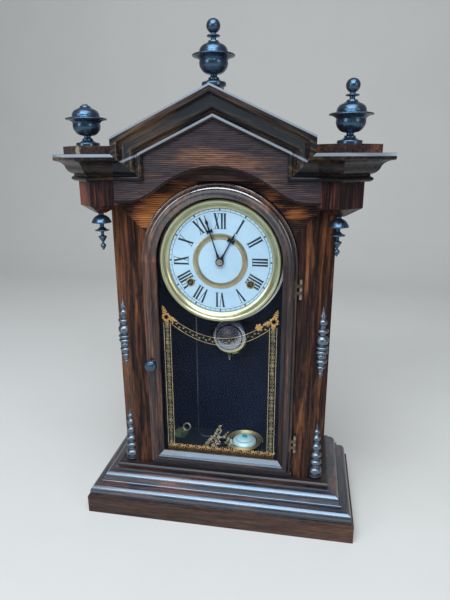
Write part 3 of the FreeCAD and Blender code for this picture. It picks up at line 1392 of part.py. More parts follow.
def make_key():
    barrel_top = floor_top + key_barrel_length
    barrel = rod(Vector(key_x, key_y, floor_top), Vector(key_x, key_y, barrel_top), key_barrel_radius)
    half = key_peg_side / 2 + key_square_gap
    socket = box(key_x - half, key_x + half, key_y - half, key_y + half, floor_top - overrun,
                 floor_top + key_peg_height + running_gap)
    centre = Vector(key_x + key_bow_shift, key_y, barrel_top + key_bow_rise)
    tilt = math.radians(key_bow_tilt)
    bow = Part.makeTorus(key_bow_radius, key_bow_wire, centre, Vector(0, -math.cos(tilt), math.sin(tilt)))
    way = unit(Vector(key_x, key_y, barrel_top) - centre)
    stem = rod(Vector(key_x, key_y, barrel_top - overrun), centre + way * key_bow_radius, key_stem_radius)
    save("winding_key", barrel.cut(socket).multiFuse([stem, bow]))


make_base()
make_case_walls()
make_front_frame()
make_crown()
make_gable()
make_top_ornaments()
make_split_turnings()
make_door()
make_hinges()
make_dial()
nut_front = make_hands()
make_centre_arbor(nut_front)
minute_pinion_front = make_minute_wheel()
make_trains()
make_anchor()
make_plates(minute_pinion_front)
make_pillars()
make_springs()
make_pendulum()
make_hammer()
make_gong()
make_key()
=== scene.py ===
import math
from collections import namedtuple

import bmesh
import bpy
from mathutils import Matrix, Vector


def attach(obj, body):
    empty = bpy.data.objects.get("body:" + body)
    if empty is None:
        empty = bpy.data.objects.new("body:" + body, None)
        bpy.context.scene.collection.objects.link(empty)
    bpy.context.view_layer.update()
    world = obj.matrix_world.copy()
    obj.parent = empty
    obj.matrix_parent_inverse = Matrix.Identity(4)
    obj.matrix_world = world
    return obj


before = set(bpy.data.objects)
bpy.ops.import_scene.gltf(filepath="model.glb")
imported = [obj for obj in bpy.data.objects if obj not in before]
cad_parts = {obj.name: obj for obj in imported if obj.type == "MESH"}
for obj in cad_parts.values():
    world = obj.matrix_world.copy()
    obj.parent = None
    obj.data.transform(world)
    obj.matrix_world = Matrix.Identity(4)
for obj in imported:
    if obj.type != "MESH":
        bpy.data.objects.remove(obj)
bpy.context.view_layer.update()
mm = 0.001

# Camera, as the clock was photographed
camera_place = Vector((104.0, -572.0, 460.0)) * mm
camera_forward = Vector((-0.1657, 0.9442, -0.2832))
camera_up = Vector((-0.0448, 0.2809, 0.9590))
sensor_size = 36.0
focal_pixels = 484.0
picture_height = 600.0
nearest_seen = 10.0 * mm

# Lamps: name, place, target, size in m, power in W and colour
lamps = [
    ("ceiling", (0.0, -0.9, 2.1), (0, -0.1, 0.3), (1.9, 1.5), 52, (0.76, 0.88, 1.0)),
    ("tubes", (-0.1, -1.9, 1.9), (0, 0, 0.3), (2.2, 0.36), 36, (0.84, 0.92, 1.0)),
    ("window_left", (-1.3, -1.5, 0.9), (0, 0, 0.3), (0.5, 1.1), 9, (0.90, 0.95, 1.0)),
    ("room_right", (1.5, -1.2, 0.8), (0, 0, 0.3), (0.4, 0.9), 5, (1.0, 0.95, 0.88)),
]
room_colour = (0.82, 0.90, 1.0)
room_strength = 0.20

# Floor, in m: level from its front edge to the bend, round the bend and up as a wall
floor_half_width = 3.0
floor_front = -1.8
floor_bend = 1.2
bend_radius = 0.8
bend_steps = 16
wall_height = 2.4


def add_camera():
    data = bpy.data.cameras.new("photo_camera")
    data.sensor_width = sensor_size
    data.lens = focal_pixels / picture_height * sensor_size
    data.clip_start = nearest_seen
    camera = bpy.data.objects.new("photo_camera", data)
    bpy.context.collection.objects.link(camera)
    forward = camera_forward.normalized()
    right = forward.cross(camera_up).normalized()
    up = right.cross(forward)
    turn = Matrix((right, up, -forward)).transposed()
    camera.matrix_world = Matrix.Translation(camera_place) @ turn.to_4x4()
    bpy.context.scene.camera = camera


def add_area_lamp(name, place, target, size, power, colour):
    data = bpy.data.lights.new(name, "AREA")
    data.shape = "RECTANGLE"
    data.size, data.size_y = size
    data.energy = power
    data.color = colour
    lamp = bpy.data.objects.new(name, data)
    bpy.context.collection.objects.link(lamp)
    aim = (Vector(target) - Vector(place)).to_track_quat("-Z", "Y")
    lamp.matrix_world = Matrix.Translation(place) @ aim.to_matrix().to_4x4()


def add_light():
    for lamp in lamps:
        add_area_lamp(*lamp)
    world = bpy.data.worlds.new("studio")
    world.use_nodes = True
    back = world.node_tree.nodes["Background"]
    back.inputs["Color"].default_value = (*room_colour, 1)
    back.inputs["Strength"].default_value = room_strength
    bpy.context.scene.world = world
    bpy.context.scene.view_settings.view_transform = "Standard"


def of_kind(items, kind):
    return [item for item in items if isinstance(item, kind)]


def make_object(name, bm, material, weld_distance, smooth=False):
    """An object in its own place, with its doubles merged and its normals outward."""
    bmesh.ops.remove_doubles(bm, verts=bm.verts, dist=weld_distance)
    bmesh.ops.recalc_face_normals(bm, faces=bm.faces)
    mesh = bpy.data.meshes.new(name)
    bm.to_mesh(mesh)
    bm.free()
    if smooth:
        mesh.shade_smooth()
    mesh.materials.append(material)
    made = bpy.data.objects.new(name, mesh)
    bpy.context.collection.objects.link(made)
    return made


def add_stage(colour):
    """A plain floor that rises behind the clock in one sweep."""
    bm = bmesh.new()
    ends = [bm.verts.new((x, floor_front, 0.0)) for x in (-floor_half_width, floor_half_width)]
    line = bm.edges.new(ends)
    level = bmesh.ops.extrude_edge_only(bm, edges=[line])["geom"]
    verts = of_kind(level, bmesh.types.BMVert)
    edges = [edge for edge in of_kind(level, bmesh.types.BMEdge) if set(edge.verts) == set(verts)]
    bmesh.ops.translate(bm, verts=verts, vec=(0, floor_bend - floor_front, 0))
    sweep = bmesh.ops.spin(bm, geom=verts + edges, cent=(0, floor_bend, bend_radius), axis=(1, 0, 0),
                           dvec=(0, 0, 0), angle=math.radians(90), steps=bend_steps,
                           use_duplicate=False)["geom_last"]
    wall = bmesh.ops.extrude_edge_only(bm, edges=of_kind(sweep, bmesh.types.BMEdge))["geom"]
    bmesh.ops.translate(bm, verts=of_kind(wall, bmesh.types.BMVert), vec=(0, 0, wall_height))
    floor = make_object("floor", bm, colour, 1.0 * mm, smooth=True)


# Steps that the materials are built from
def new_material(name, colour, roughness, **sockets):
    """A material with its plain values set on the shader's own sockets."""
    material = bpy.data.materials.new(name)
    material.use_nodes = True
    shader = material.node_tree.nodes["Principled BSDF"]
    shader.inputs["Base Color"].default_value = (*colour, 1)
    shader.inputs["Roughness"].default_value = roughness
    for socket, value in sockets.items():
        shader.inputs[socket.replace("_", " ")].default_value = value
    return material, material.node_tree, shader


def feed(tree, socket, value):
    """Sets a socket to a plain number, or links another node's output to it."""
    if isinstance(value, float):
        socket.default_value = value
    else:
        tree.links.new(value, socket)


def calculate(tree, operation, first, second, clamp=False):
    node = tree.nodes.new("ShaderNodeMath")
    node.operation = operation
    node.use_clamp = clamp
    feed(tree, node.inputs[0], first)
    feed(tree, node.inputs[1], second)
    return node.outputs["Value"]


def absolute(tree, value):
    return calculate(tree, "ABSOLUTE", value, 0.0)


# Sockets of the Mix node by the kind of value: first, second and result
mix_sockets = {"RGBA": (6, 7, 2), "VECTOR": (4, 5, 1)}


def mix(tree, factor, first, second, kind="RGBA", way="MIX"):
    """Goes from the first value to the second as the factor goes from 0 to 1."""
    first_socket, second_socket, result = mix_sockets[kind]
    node = tree.nodes.new("ShaderNodeMix")
    node.data_type = kind
    node.blend_type = way
    feed(tree, node.inputs[0], factor)
    tree.links.new(first, node.inputs[first_socket])
    tree.links.new(second, node.inputs[second_socket])
    return node.outputs[result]


def spread(tree, value, low, high, new_low, new_high):
    node = tree.nodes.new("ShaderNodeMapRange")
    node.inputs["From Min"].default_value = low
    node.inputs["From Max"].default_value = high
    node.inputs["To Min"].default_value = new_low
    node.inputs["To Max"].default_value = new_high
    tree.links.new(value, node.inputs["Value"])
    return node.outputs["Result"]


def noise(tree, vector, scale, detail=4.0, roughness=0.55, distortion=0.0):
    node = tree.nodes.new("ShaderNodeTexNoise")
    node.inputs["Scale"].default_value = scale
    node.inputs["Detail"].default_value = detail
    node.inputs["Roughness"].default_value = roughness
    node.inputs["Distortion"].default_value = distortion
    tree.links.new(vector, node.inputs["Vector"])
    return node.outputs["Fac"]


def ramp(tree, factor, stops):
    node = tree.nodes.new("ShaderNodeValToRGB")
    elements = node.color_ramp.elements
    while len(elements) < len(stops):
        elements.new(0.5)
    for element, (position, colour) in zip(elements, stops):
        element.position = position
        element.color = (*colour, 1)
    tree.links.new(factor, node.inputs["Fac"])
    return node.outputs["Color"]


def add_bump(tree, shader, height, strength, distance):
    node = tree.nodes.new("ShaderNodeBump")
    node.inputs["Strength"].default_value = strength
    node.inputs["Distance"].default_value = distance
    tree.links.new(height, node.inputs["Height"])
    tree.links.new(node.outputs["Normal"], shader.inputs["Normal"])


def split_vector(tree, vector):
    parts = tree.nodes.new("ShaderNodeSeparateXYZ")
    tree.links.new(vector, parts.inputs["Vector"])
    return [parts.outputs[axis] for axis in "XYZ"]


def join_vector(tree, *parts):
    join = tree.nodes.new("ShaderNodeCombineXYZ")
    for axis, part in zip("XYZ", parts):
        tree.links.new(part, join.inputs[axis])
    return join.outputs["Vector"]


def map_vector(tree, vector, scale=(1, 1, 1), shift=(0, 0, 0), turn=(0, 0, 0)):
    mapping = tree.nodes.new("ShaderNodeMapping")
    mapping.inputs["Scale"].default_value = scale
    mapping.inputs["Rotation"].default_value = turn
    mapping.inputs["Location"].default_value = shift
    tree.links.new(vector, mapping.inputs["Vector"])
    return mapping.outputs["Vector"]


def object_place(tree):
    return tree.nodes.new("ShaderNodeTexCoord").outputs["Object"]


def object_coordinates(tree, scale=(1, 1, 1), shift=(0, 0, 0)):
    return map_vector(tree, object_place(tree), scale, shift)


def returned_coordinates(tree, scale, shift):
    """Swaps X and Y on faces that look sideways, so a moulding's grain follows it round the corner."""
    place = object_place(tree)
    x, y, z = split_vector(tree, place)
    swapped = join_vector(tree, y, x, z)
    geometry = tree.nodes.new("ShaderNodeNewGeometry")
    facing = split_vector(tree, geometry.outputs["True Normal"])
    sideways = calculate(tree, "GREATER_THAN", absolute(tree, facing[0]), absolute(tree, facing[1]))
    return map_vector(tree, mix(tree, sideways, place, swapped, "VECTOR"), scale, shift)


def raked_coordinates(tree, scale, shift, degrees):
    """Coordinates that follow the two sides of the gable, mirrored about the clock's middle."""
    x, y, z = split_vector(tree, object_place(tree))
    mirrored = join_vector(tree, absolute(tree, x), y, z)
    raked = map_vector(tree, mirrored, turn=(0, math.radians(-degrees), 0))
    return map_vector(tree, raked, scale, shift)


def spot(tree, centre, radii, amount):
    """A soft spot, in mm, that fades from an amount at its centre to nothing at its radii."""
    shift = [-place / radius for place, radius in zip(centre, radii)]
    scale = [1 / (radius * mm) for radius in radii]
    length = tree.nodes.new("ShaderNodeVectorMath")
    length.operation = "LENGTH"
    tree.links.new(object_coordinates(tree, scale, shift), length.inputs[0])
    return spread(tree, length.outputs["Value"], 1.0, 0.0, 0.0, amount)


# Wood
Tones = namedtuple("Tones", "black dark brown warm light")
upright, crosswise = 2, 0
# Blue specular tint of the polish: a painted bluish sheen on its reflections under any lamp
veneer_painted_sheen_tint = (0.56, 0.79, 1.0)
# Fade, in mm, at the edges of each painted highlight line
highlight_line_fade = 0.6


def ripple_lines(tree, line, vector):
    """Lays thin wavy lines, about 2 mm apart, over the lines of the grain."""
    node = tree.nodes.new("ShaderNodeTexWave")
    node.bands_direction = "Z"
    node.inputs["Scale"].default_value = 150.0
    node.inputs["Distortion"].default_value = 7.0
    node.inputs["Detail"].default_value = 3.0
    node.inputs["Detail Scale"].default_value = 0.35
    node.inputs["Detail Roughness"].default_value = 0.55
    tree.links.new(vector, node.inputs["Vector"])
    waves = spread(tree, node.outputs["Fac"], 0.0, 1.0, 0.22, 0.76)
    return calculate(tree, "ADD", calculate(tree, "MULTIPLY", line, 0.45),
                     calculate(tree, "MULTIPLY", waves, 0.55))


def warm_share(tree, patch, streak, warmth, contrast, spots):
    """How warm the wood is, from 0 to 1: by wide patches, with streaks at their edges, and in spots."""
    amount = spread(tree, patch, 0.40, 0.62, warmth - 0.35, warmth + 0.15)
    for centre, radii, strength in spots:
        amount = calculate(tree, "ADD", amount, spot(tree, centre, radii, strength))
    edge = spread(tree, streak, 0.36, 0.62, -contrast, contrast)
    return calculate(tree, "ADD", amount, edge, True)


def wood_colour(tree, tones, share, line, pore):
    """Dark and warm wood, each lined by the grain, with the grain's small dark pores."""
    dark = ramp(tree, line, [(0.32, tones.black), (0.52, tones.dark), (0.72, tones.brown)])
    warm = ramp(tree, line, [(0.26, tones.brown), (0.42, tones.warm), (0.64, tones.light)])
    hole = ramp(tree, pore, [(0.40, (0.45, 0.42, 0.40)), (0.52, (1.0, 1.0, 1.0))])
    return mix(tree, 0.7, mix(tree, share, dark, warm), hole, way="MULTIPLY")


def chipped(tree, colour, chip, line, streak):
    """Bare pale wood where the veneer has broken away, with a ragged edge."""
    bare = ramp(tree, line, [(0.3, (0.20, 0.15, 0.09)), (0.7, (0.46, 0.40, 0.28))])
    broken = calculate(tree, "ADD", spot(tree, *chip, 1.0), spread(tree, streak, 0.3, 0.7, -0.2, 0.2))
    return mix(tree, spread(tree, broken, 0.38, 0.46, 0.0, 1.0), colour, bare)


def painted_highlight_line(tree, colour, height, patch, low, high, wear_and_highlight):
    """A painted highlight: a line between two heights, in mm, where the wood is made a paler colour to
    stand for light caught on a bead.
    """
    above = spread(tree, height, (low - highlight_line_fade) * mm, low * mm, 0.0, 1.0)
    below = spread(tree, height, high * mm, (high + highlight_line_fade) * mm, 1.0, 0.0)
    pale = ramp(tree, patch, [(0.38, wear_and_highlight), (0.62, [value * 0.45 for value in wear_and_highlight])])
    return mix(tree, calculate(tree, "MULTIPLY", above, below), colour, pale)


def veneer(name, grain, tones, warmth, spots=(), shift=(0, 0, 0), wave=1.2, fineness=75.0, contrast=0.5,
           rake=0.0, returned=False, ripple=False, chip=None, painted_highlight_lines=(), gloss=0.40, polish=0.24,
           density=1.5, lacquer=1.5, bright_above=None):
    """Polished dark veneer. Its figure of warm streaks runs along the grain's axis, and more so in spots.

    The lines of painted highlight and the heights between which the lacquer brightens are in mm.
    Both are measured at right angles to the rake, where there is one.
    """
    material, tree, shader = new_material(name, tones.dark, 0.30, Specular_IOR_Level=gloss, IOR=density,
                                          Coat_Weight=gloss * 0.4, Coat_Roughness=0.12, Coat_IOR=lacquer)
    shader.inputs["Specular Tint"].default_value = (*veneer_painted_sheen_tint, 1)

    def along_grain(stretch):
        scale = [1.0, 1.0, 1.0]
        scale[grain] = stretch
        if rake:
            return raked_coordinates(tree, scale, shift, rake)
        if returned:
            return returned_coordinates(tree, scale, shift)
        return object_coordinates(tree, scale, shift)

    wide = along_grain(0.09)
    narrow = along_grain(0.05)
    patch = noise(tree, wide, 11.0, 3.0, 0.5, 0.6)
    streak = noise(tree, wide, fineness, 5.0, 0.62, wave)
    line = noise(tree, narrow, 420.0, 4.0, 0.6, 0.4)
    pore = noise(tree, narrow, 1500.0, 1.0, 0.5)
    if ripple:
        line = ripple_lines(tree, line, along_grain(0.30))
    share = warm_share(tree, patch, streak, warmth, contrast, spots)
    colour = wood_colour(tree, tones, share, line, pore)
    if chip:
        colour = chipped(tree, colour, chip, line, streak)
    if painted_highlight_lines or bright_above:
        level = raked_coordinates(tree, (1, 1, 1), (0, 0, 0), rake) if rake else object_coordinates(tree)
        height = split_vector(tree, level)[2]
        # Painted highlights: paler bluish lines where the beads and the nose catch the light
        for low, high, wear_and_highlight in painted_highlight_lines:
            colour = painted_highlight_line(tree, colour, height, patch, low, high, wear_and_highlight)
        if bright_above:
            low, high = bright_above
            tree.links.new(spread(tree, height, low * mm, high * mm, gloss * 0.15, 1.0),
                           shader.inputs["Coat Weight"])
    tree.links.new(colour, shader.inputs["Base Color"])
    tree.links.new(spread(tree, line, 0.3, 0.7, polish, polish + 0.12), shader.inputs["Roughness"])
    add_bump(tree, shader, line, 0.06, 0.0003)
    return material


def ebonised(name, painted_sheen_tint, density, polish):
    """Black stained and waxed turnings, with brown where the stain is rubbed."""
    material, tree, shader = new_material(name, (0.012, 0.012, 0.018), 0.30, Specular_IOR_Level=1.0,
                                          IOR=density)
    # Blue specular tint: a painted bluish sheen on the reflections under any lamp
    shader.inputs["Specular Tint"].default_value = (*painted_sheen_tint, 1)
    wear = noise(tree, object_coordinates(tree), 110.0, 5.0, 0.6)
    colour = ramp(tree, wear, [(0.35, (0.007, 0.008, 0.012)), (0.62, (0.016, 0.016, 0.022)),
                               (0.80, (0.045, 0.034, 0.030))])
    tree.links.new(colour, shader.inputs["Base Color"])
    tree.links.new(spread(tree, wear, 0.3, 0.7, polish, polish + 0.13), shader.inputs["Roughness"])
    add_bump(tree, shader, wear, 0.04, 0.0002)
    return material


def inner_and_outer_wood(name, split_y):
    """The back board: dark blue paper inside, its blue also a painted stand-in for the glass's bluish
    sheen, and bare softwood outside.
    """
    material, tree, shader = new_material(name, (0.05, 0.06, 0.1), 0.65, Specular_IOR_Level=0.2)
    vector = object_coordinates(tree)
    paper = noise(tree, vector, 14.0, 3.0, 0.5)
    # Inside: dark blue paper with the glass's bluish sheen painted in
    inside = ramp(tree, paper, [(0.3, (0.003, 0.007, 0.020)), (0.7, (0.008, 0.016, 0.042))])
    grain = noise(tree, object_coordinates(tree, (1, 1, 0.08)), 90.0, 6.0, 0.6, 0.8)
    outside = ramp(tree, grain, [(0.3, (0.12, 0.065, 0.03)), (0.7, (0.26, 0.155, 0.08))])
    depth = split_vector(tree, vector)[1]
    side = spread(tree, depth, split_y - 0.4 * mm, split_y + 0.4 * mm, 0.0, 1.0)
    tree.links.new(mix(tree, side, inside, outside), shader.inputs["Base Color"])
    add_bump(tree, shader, grain, 0.03, 0.0003)
    return material


def lined_floor(name, half_width, front_y, mark_place, mark_radii):
    """The floor board: veneered ledge outside, dark blue inside the case, with a faded green mark."""
    material, tree, shader = new_material(name, (0.02, 0.02, 0.03), 0.45, Specular_IOR_Level=0.45)
    vector = object_coordinates(tree)
    x, y = split_vector(tree, vector)[:2]
    grain = noise(tree, object_coordinates(tree, (0.09, 1, 1)), 90.0, 5.0, 0.6, 0.8)
    outside = ramp(tree, grain, [(0.32, (0.008, 0.006, 0.007)), (0.52, (0.022, 0.014, 0.014)),
                                 (0.72, (0.060, 0.028, 0.020))])
    paper = noise(tree, vector, 40.0, 5.0, 0.6)
    inside = ramp(tree, paper, [(0.3, (0.006, 0.012, 0.022)), (0.7, (0.016, 0.030, 0.046))])
    faded_paper = ramp(tree, paper, [(0.3, (0.10, 0.16, 0.07)), (0.7, (0.22, 0.30, 0.15))])
    mark = spread(tree, spot(tree, mark_place, mark_radii, 1.0), 0.15, 0.3, 0.0, 1.0)
    inside = mix(tree, mark, inside, faded_paper)
    between = spread(tree, absolute(tree, x), half_width, half_width + 0.5 * mm, 1.0, 0.0)
    behind = spread(tree, y, front_y, front_y + 0.5 * mm, 0.0, 1.0)
    lined = calculate(tree, "MULTIPLY", between, behind)
    tree.links.new(mix(tree, lined, outside, inside), shader.inputs["Base Color"])
    add_bump(tree, shader, grain, 0.06, 0.0003)
    return material


# Metal, paint and glass
def metal(name, bright, dull, roughness, patch_scale=35.0):
    """A metal with soft patches of tarnish and an even polish."""
    material, tree, shader = new_material(name, bright, roughness, Metallic=1.0)
    patch = noise(tree, object_coordinates(tree), patch_scale, 4.0, 0.55)
    tree.links.new(ramp(tree, patch, [(0.34, dull), (0.62, bright)]), shader.inputs["Base Color"])
    tree.links.new(spread(tree, patch, 0.3, 0.7, roughness + 0.06, roughness - 0.03),
                   shader.inputs["Roughness"])
    return material


def painted(name, colour, shade, roughness, patch_scale, **sockets):
    """Paint with soft darker patches."""
    material, tree, shader = new_material(name, colour, roughness, **sockets)
    patch = noise(tree, object_coordinates(tree), patch_scale, 6.0, 0.65)
    tree.links.new(ramp(tree, patch, [(0.30, shade), (0.62, colour)]), shader.inputs["Base Color"])
    add_bump(tree, shader, patch, 0.05, 0.0003)
    return material


def clear_glass(name):
    """A pane that is clear from the front and gains a faint blue sheen at a slant."""
    material, tree, shader = new_material(name, (0.02, 0.03, 0.06), 0.03, Specular_IOR_Level=1.0)
    slant = tree.nodes.new("ShaderNodeLayerWeight")
    tree.links.new(spread(tree, slant.outputs["Facing"], 0.35, 1.0, 0.03, 0.6), shader.inputs["Alpha"])
    return material


def rings_about(name, place, stops, roughness, metallic):
    """A round thing in flat colours that change, in mm, with the distance from a place."""
    material, tree, shader = new_material(name, stops[0][1], roughness, Metallic=metallic)
    reach = stops[-1][0]
    distance = spot(tree, place, (reach, reach, reach), 1.0)
    rising = [(1 - far / reach, colour) for far, colour in reversed(stops)]
    wear_and_highlight = noise(tree, object_coordinates(tree), 120.0, 3.0, 0.5)
    tree.links.new(ramp(tree, distance, rising), shader.inputs["Base Color"])
    tree.links.new(spread(tree, wear_and_highlight, 0.3, 0.7, roughness, roughness + 0.12), shader.inputs["Roughness"])
    return material


# Finishes of this clock
rosewood = Tones(black=(0.008, 0.0045, 0.004), dark=(0.022, 0.010, 0.008), brown=(0.056, 0.022, 0.014),
                 warm=(0.165, 0.056, 0.023), light=(0.310, 0.120, 0.046))
shaded = Tones(black=(0.004, 0.003, 0.003), dark=(0.009, 0.006, 0.006), brown=(0.026, 0.014, 0.010),
               warm=(0.090, 0.046, 0.020), light=(0.170, 0.100, 0.046))
reddish = Tones(black=(0.007, 0.004, 0.004), dark=(0.022, 0.010, 0.010), brown=(0.058, 0.021, 0.018),
                warm=(0.135, 0.042, 0.030), light=(0.260, 0.080, 0.044))
mellow = Tones(black=(0.020, 0.011, 0.010), dark=(0.042, 0.023, 0.019), brown=(0.085, 0.044, 0.034),
               warm=(0.165, 0.070, 0.038), light=(0.300, 0.135, 0.065))
faded = Tones(black=(0.024, 0.018, 0.021), dark=(0.044, 0.033, 0.037), brown=(0.070, 0.049, 0.050),
              warm=(0.150, 0.072, 0.046), light=(0.270, 0.128, 0.066))
fiery = Tones(black=(0.008, 0.0045, 0.004), dark=(0.028, 0.013, 0.011), brown=(0.075, 0.030, 0.020),
              warm=(0.290, 0.095, 0.028), light=(0.540, 0.205, 0.058))
doorwood = Tones(black=(0.010, 0.006, 0.005), dark=(0.028, 0.014, 0.011), brown=(0.066, 0.030, 0.022),
                 warm=(0.150, 0.058, 0.030), light=(0.280, 0.115, 0.052))
basewood = Tones(black=(0.030, 0.017, 0.013), dark=(0.050, 0.028, 0.021), brown=(0.082, 0.044, 0.031),
                 warm=(0.135, 0.062, 0.036), light=(0.220, 0.100, 0.055))

side_veneer = veneer("side_veneer", upright, rosewood, warmth=0.18, gloss=0.25)
post_veneer = veneer(
    "post_veneer", upright, rosewood, warmth=0.30, shift=(0.31, 0.12, 0.07), wave=1.4, fineness=95.0,
    contrast=0.36, gloss=0.10, spots=[
        ((-128, -16, 290), (14, 40, 230), 0.8), ((121, -16, 320), (9, 40, 80), 0.5),
        ((122, -16, 170), (9, 40, 90), 0.2)])
stile_veneer = veneer(
    "stile_veneer", upright, rosewood, warmth=0.10, shift=(0.05, 0.3, 0.2), fineness=110.0,
    contrast=0.36, gloss=0.12, spots=[
        ((103, -23, 360), (4, 40, 70), 1.0), ((103, -23, 142), (7, 40, 40), 0.5),
        ((-106, -23, 300), (4, 40, 60), 0.4)])
door_veneer = veneer(
    "door_veneer", upright, doorwood, warmth=0.10, shift=(0.4, 0.1, 0.3), fineness=110.0,
    contrast=0.4, gloss=0.45, spots=[
        ((85, -31, 250), (3, 40, 120), 0.5), ((-84, -31, 230), (3, 40, 60), 0.35)])
door_arch_veneer = veneer(
    "door_arch_veneer", upright, doorwood, warmth=0.24, shift=(0.4, 0.1, 0.3), wave=1.6, fineness=90.0,
    contrast=0.4, gloss=0.55, polish=0.26, lacquer=2.1, bright_above=(340, 415),
    spots=[((52, -31, 410), (20, 40, 14), 1.0)])
door_rail_veneer = veneer(
    "door_rail_veneer", crosswise, doorwood, warmth=0.02, shift=(0.1, 0.5, 0.3), fineness=110.0,
    gloss=0.55, polish=0.22)
arch_veneer = veneer(
    "arch_veneer", crosswise, fiery, warmth=0.02, shift=(0.0, 0.0, 0.2), wave=2.6, fineness=120.0,
    ripple=True, gloss=0.20, spots=[
        ((-82, -23, 395), (24, 40, 22), 1.7), ((-60, -23, 412), (28, 40, 14), 1.3),
        ((-34, -23, 427), (26, 40, 12), 0.9), ((89, -23, 399), (18, 40, 11), 1.5),
        ((60, -23, 418), (16, 40, 9), 0.5)])
crown_veneer = veneer(
    "crown_veneer", crosswise, mellow, warmth=0.10, shift=(0.0, 0.0, 0.3), wave=1.8, fineness=110.0,
    contrast=0.36, gloss=0.20)
frieze_veneer = veneer(
    "frieze_veneer", crosswise, faded, warmth=-0.12, shift=(0.0, 0.4, 0.1), wave=2.0, fineness=150.0,
    contrast=0.32, ripple=True, gloss=0.30, spots=[
        ((-8, -45.5, 460), (62, 40, 14), 1.1), ((36, -45.5, 453), (44, 40, 13), 0.7),
        ((56, -45.5, 437), (18, 40, 11), 0.6)])
plinth_veneer = veneer(
    "plinth_veneer", crosswise, rosewood, warmth=0.02, shift=(0.1, 0.2, 0.3), fineness=110.0,
    returned=True, gloss=1.0, density=1.72)
base_veneer = veneer(
    "base_veneer", crosswise, basewood, warmth=0.30, shift=(0.6, 0.2, 0.3), wave=2.6, fineness=60.0,
    contrast=0.14, returned=True, gloss=0.20, spots=[((-110, -94, 12), (70, 60, 14), 0.3)])
# The cornice's top nose gets a painted highlight line
cornice_veneer = veneer(
    "cornice_veneer", crosswise, shaded, warmth=0.05, shift=(0.5, 0.1, 0.0), contrast=0.25,
    returned=True, gloss=0.26, spots=[((-170, -60, 450), (34, 60, 22), 0.8)],
    painted_highlight_lines=[(460.6, 463.0, (0.42, 0.47, 0.54))])
# The gable's two beads get painted highlight lines
gable_veneer = veneer(
    "gable_veneer", crosswise, shaded, warmth=0.20, shift=(0.5, 0.1, 0.3), wave=0.8, fineness=110.0,
    rake=25.0, gloss=0.45, spots=[((-70, -60, 488), (50, 40, 30), 0.8)],
    painted_highlight_lines=[(453.6, 455.2, (0.34, 0.38, 0.44)), (479.0, 481.0, (0.24, 0.27, 0.31))])
block_veneer = veneer(
    "block_veneer", upright, reddish, warmth=0.26, shift=(0.2, 0.0, 0.4), gloss=0.20,
    spots=[((-146, -40, 418), (24, 40, 32), 1.4)])
blocking_veneer = veneer(
    "blocking_veneer", crosswise, mellow, warmth=-0.05, shift=(0.25, 0.0, 0.4), returned=True,
    gloss=0.24, chip=((-137, -70, 467), (13, 16, 11)))
inner_floor = lined_floor("inner_floor", 118 * mm, -8 * mm, (-75, 57, 60), (14, 18, 22))
# The gong's dome: pale blue-white rings painted to stand for the sky reflected in its nickel, with the
# screw as its darker middle
dome_painted_reflection = rings_about("dome_painted_reflection", (24.5, 40.5, 72), [
    (0.0, (0.10, 0.40, 0.40)), (3.8, (0.14, 0.48, 0.48)), (4.6, (0.60, 0.98, 1.0)),
    (11.5, (0.74, 1.0, 1.0)), (13.0, (0.38, 0.62, 0.70)), (14.2, (0.74, 0.98, 1.0)),
    (19.0, (0.66, 0.86, 0.90))], 0.40, 0.25)
# The pendulum bob: dark and pale bluish rings painted to stand for its reflections, with its brass rim at
# the edge
bob_painted_reflection = rings_about("bob_painted_reflection", (-3, 52, 226), [
    (0.0, (0.16, 0.15, 0.16)), (8.0, (0.05, 0.05, 0.07)), (15.0, (0.05, 0.05, 0.07)),
    (20.0, (0.30, 0.34, 0.42)), (26.5, (0.38, 0.41, 0.44)), (29.5, (0.62, 0.60, 0.34)),
    (38.0, (0.60, 0.58, 0.30))], 0.16, 1.0)
black_turned = ebonised("black_turned", (0.34, 0.66, 1.0), 1.70, 0.21)
rubbed_turned = ebonised("rubbed_turned", (0.70, 0.84, 1.0), 1.95, 0.26)
dial_brass = metal("dial_brass", (0.70, 0.68, 0.42), (0.56, 0.56, 0.34), 0.30)
ring_brass = metal("ring_brass", (0.54, 0.50, 0.33), (0.40, 0.37, 0.24), 0.30)
old_brass = metal("old_brass", (0.55, 0.48, 0.26), (0.36, 0.30, 0.14), 0.36)
patina = metal("patina", (0.16, 0.12, 0.08), (0.07, 0.05, 0.04), 0.42)
nut_brass = metal("nut_brass", (0.50, 0.46, 0.38), (0.34, 0.31, 0.26), 0.26)
hinge_brass = metal("hinge_brass", (0.34, 0.30, 0.24), (0.18, 0.14, 0.10), 0.40, 300.0)
gilt = metal("gilt", (0.98, 0.62, 0.24), (0.66, 0.36, 0.12), 0.42, 300.0)
gilt_line = metal("gilt_line", (0.92, 0.72, 0.40), (0.50, 0.42, 0.22), 0.45, 160.0)
gilt_faded = metal("gilt_faded", (0.52, 0.48, 0.28), (0.18, 0.16, 0.09), 0.45, 220.0)
gilt_pale = metal("gilt_pale", (0.92, 0.84, 0.62), (0.56, 0.44, 0.22), 0.42, 300.0)
plain_steel = metal("plain_steel", (0.50, 0.52, 0.55), (0.34, 0.35, 0.37), 0.30)
# Dark steel; on the winding arbors it also stands for the painted shade inside the winding holes
dark_steel_and_hole_shade = metal("dark_steel_and_hole_shade", (0.16, 0.17, 0.19), (0.08, 0.08, 0.09), 0.38)
blued_steel = metal("blued_steel", (0.030, 0.050, 0.080), (0.02, 0.025, 0.04), 0.30)
dial_white = painted("dial_white", (0.46, 0.65, 0.78), (0.38, 0.56, 0.70), 0.40, 22.0)
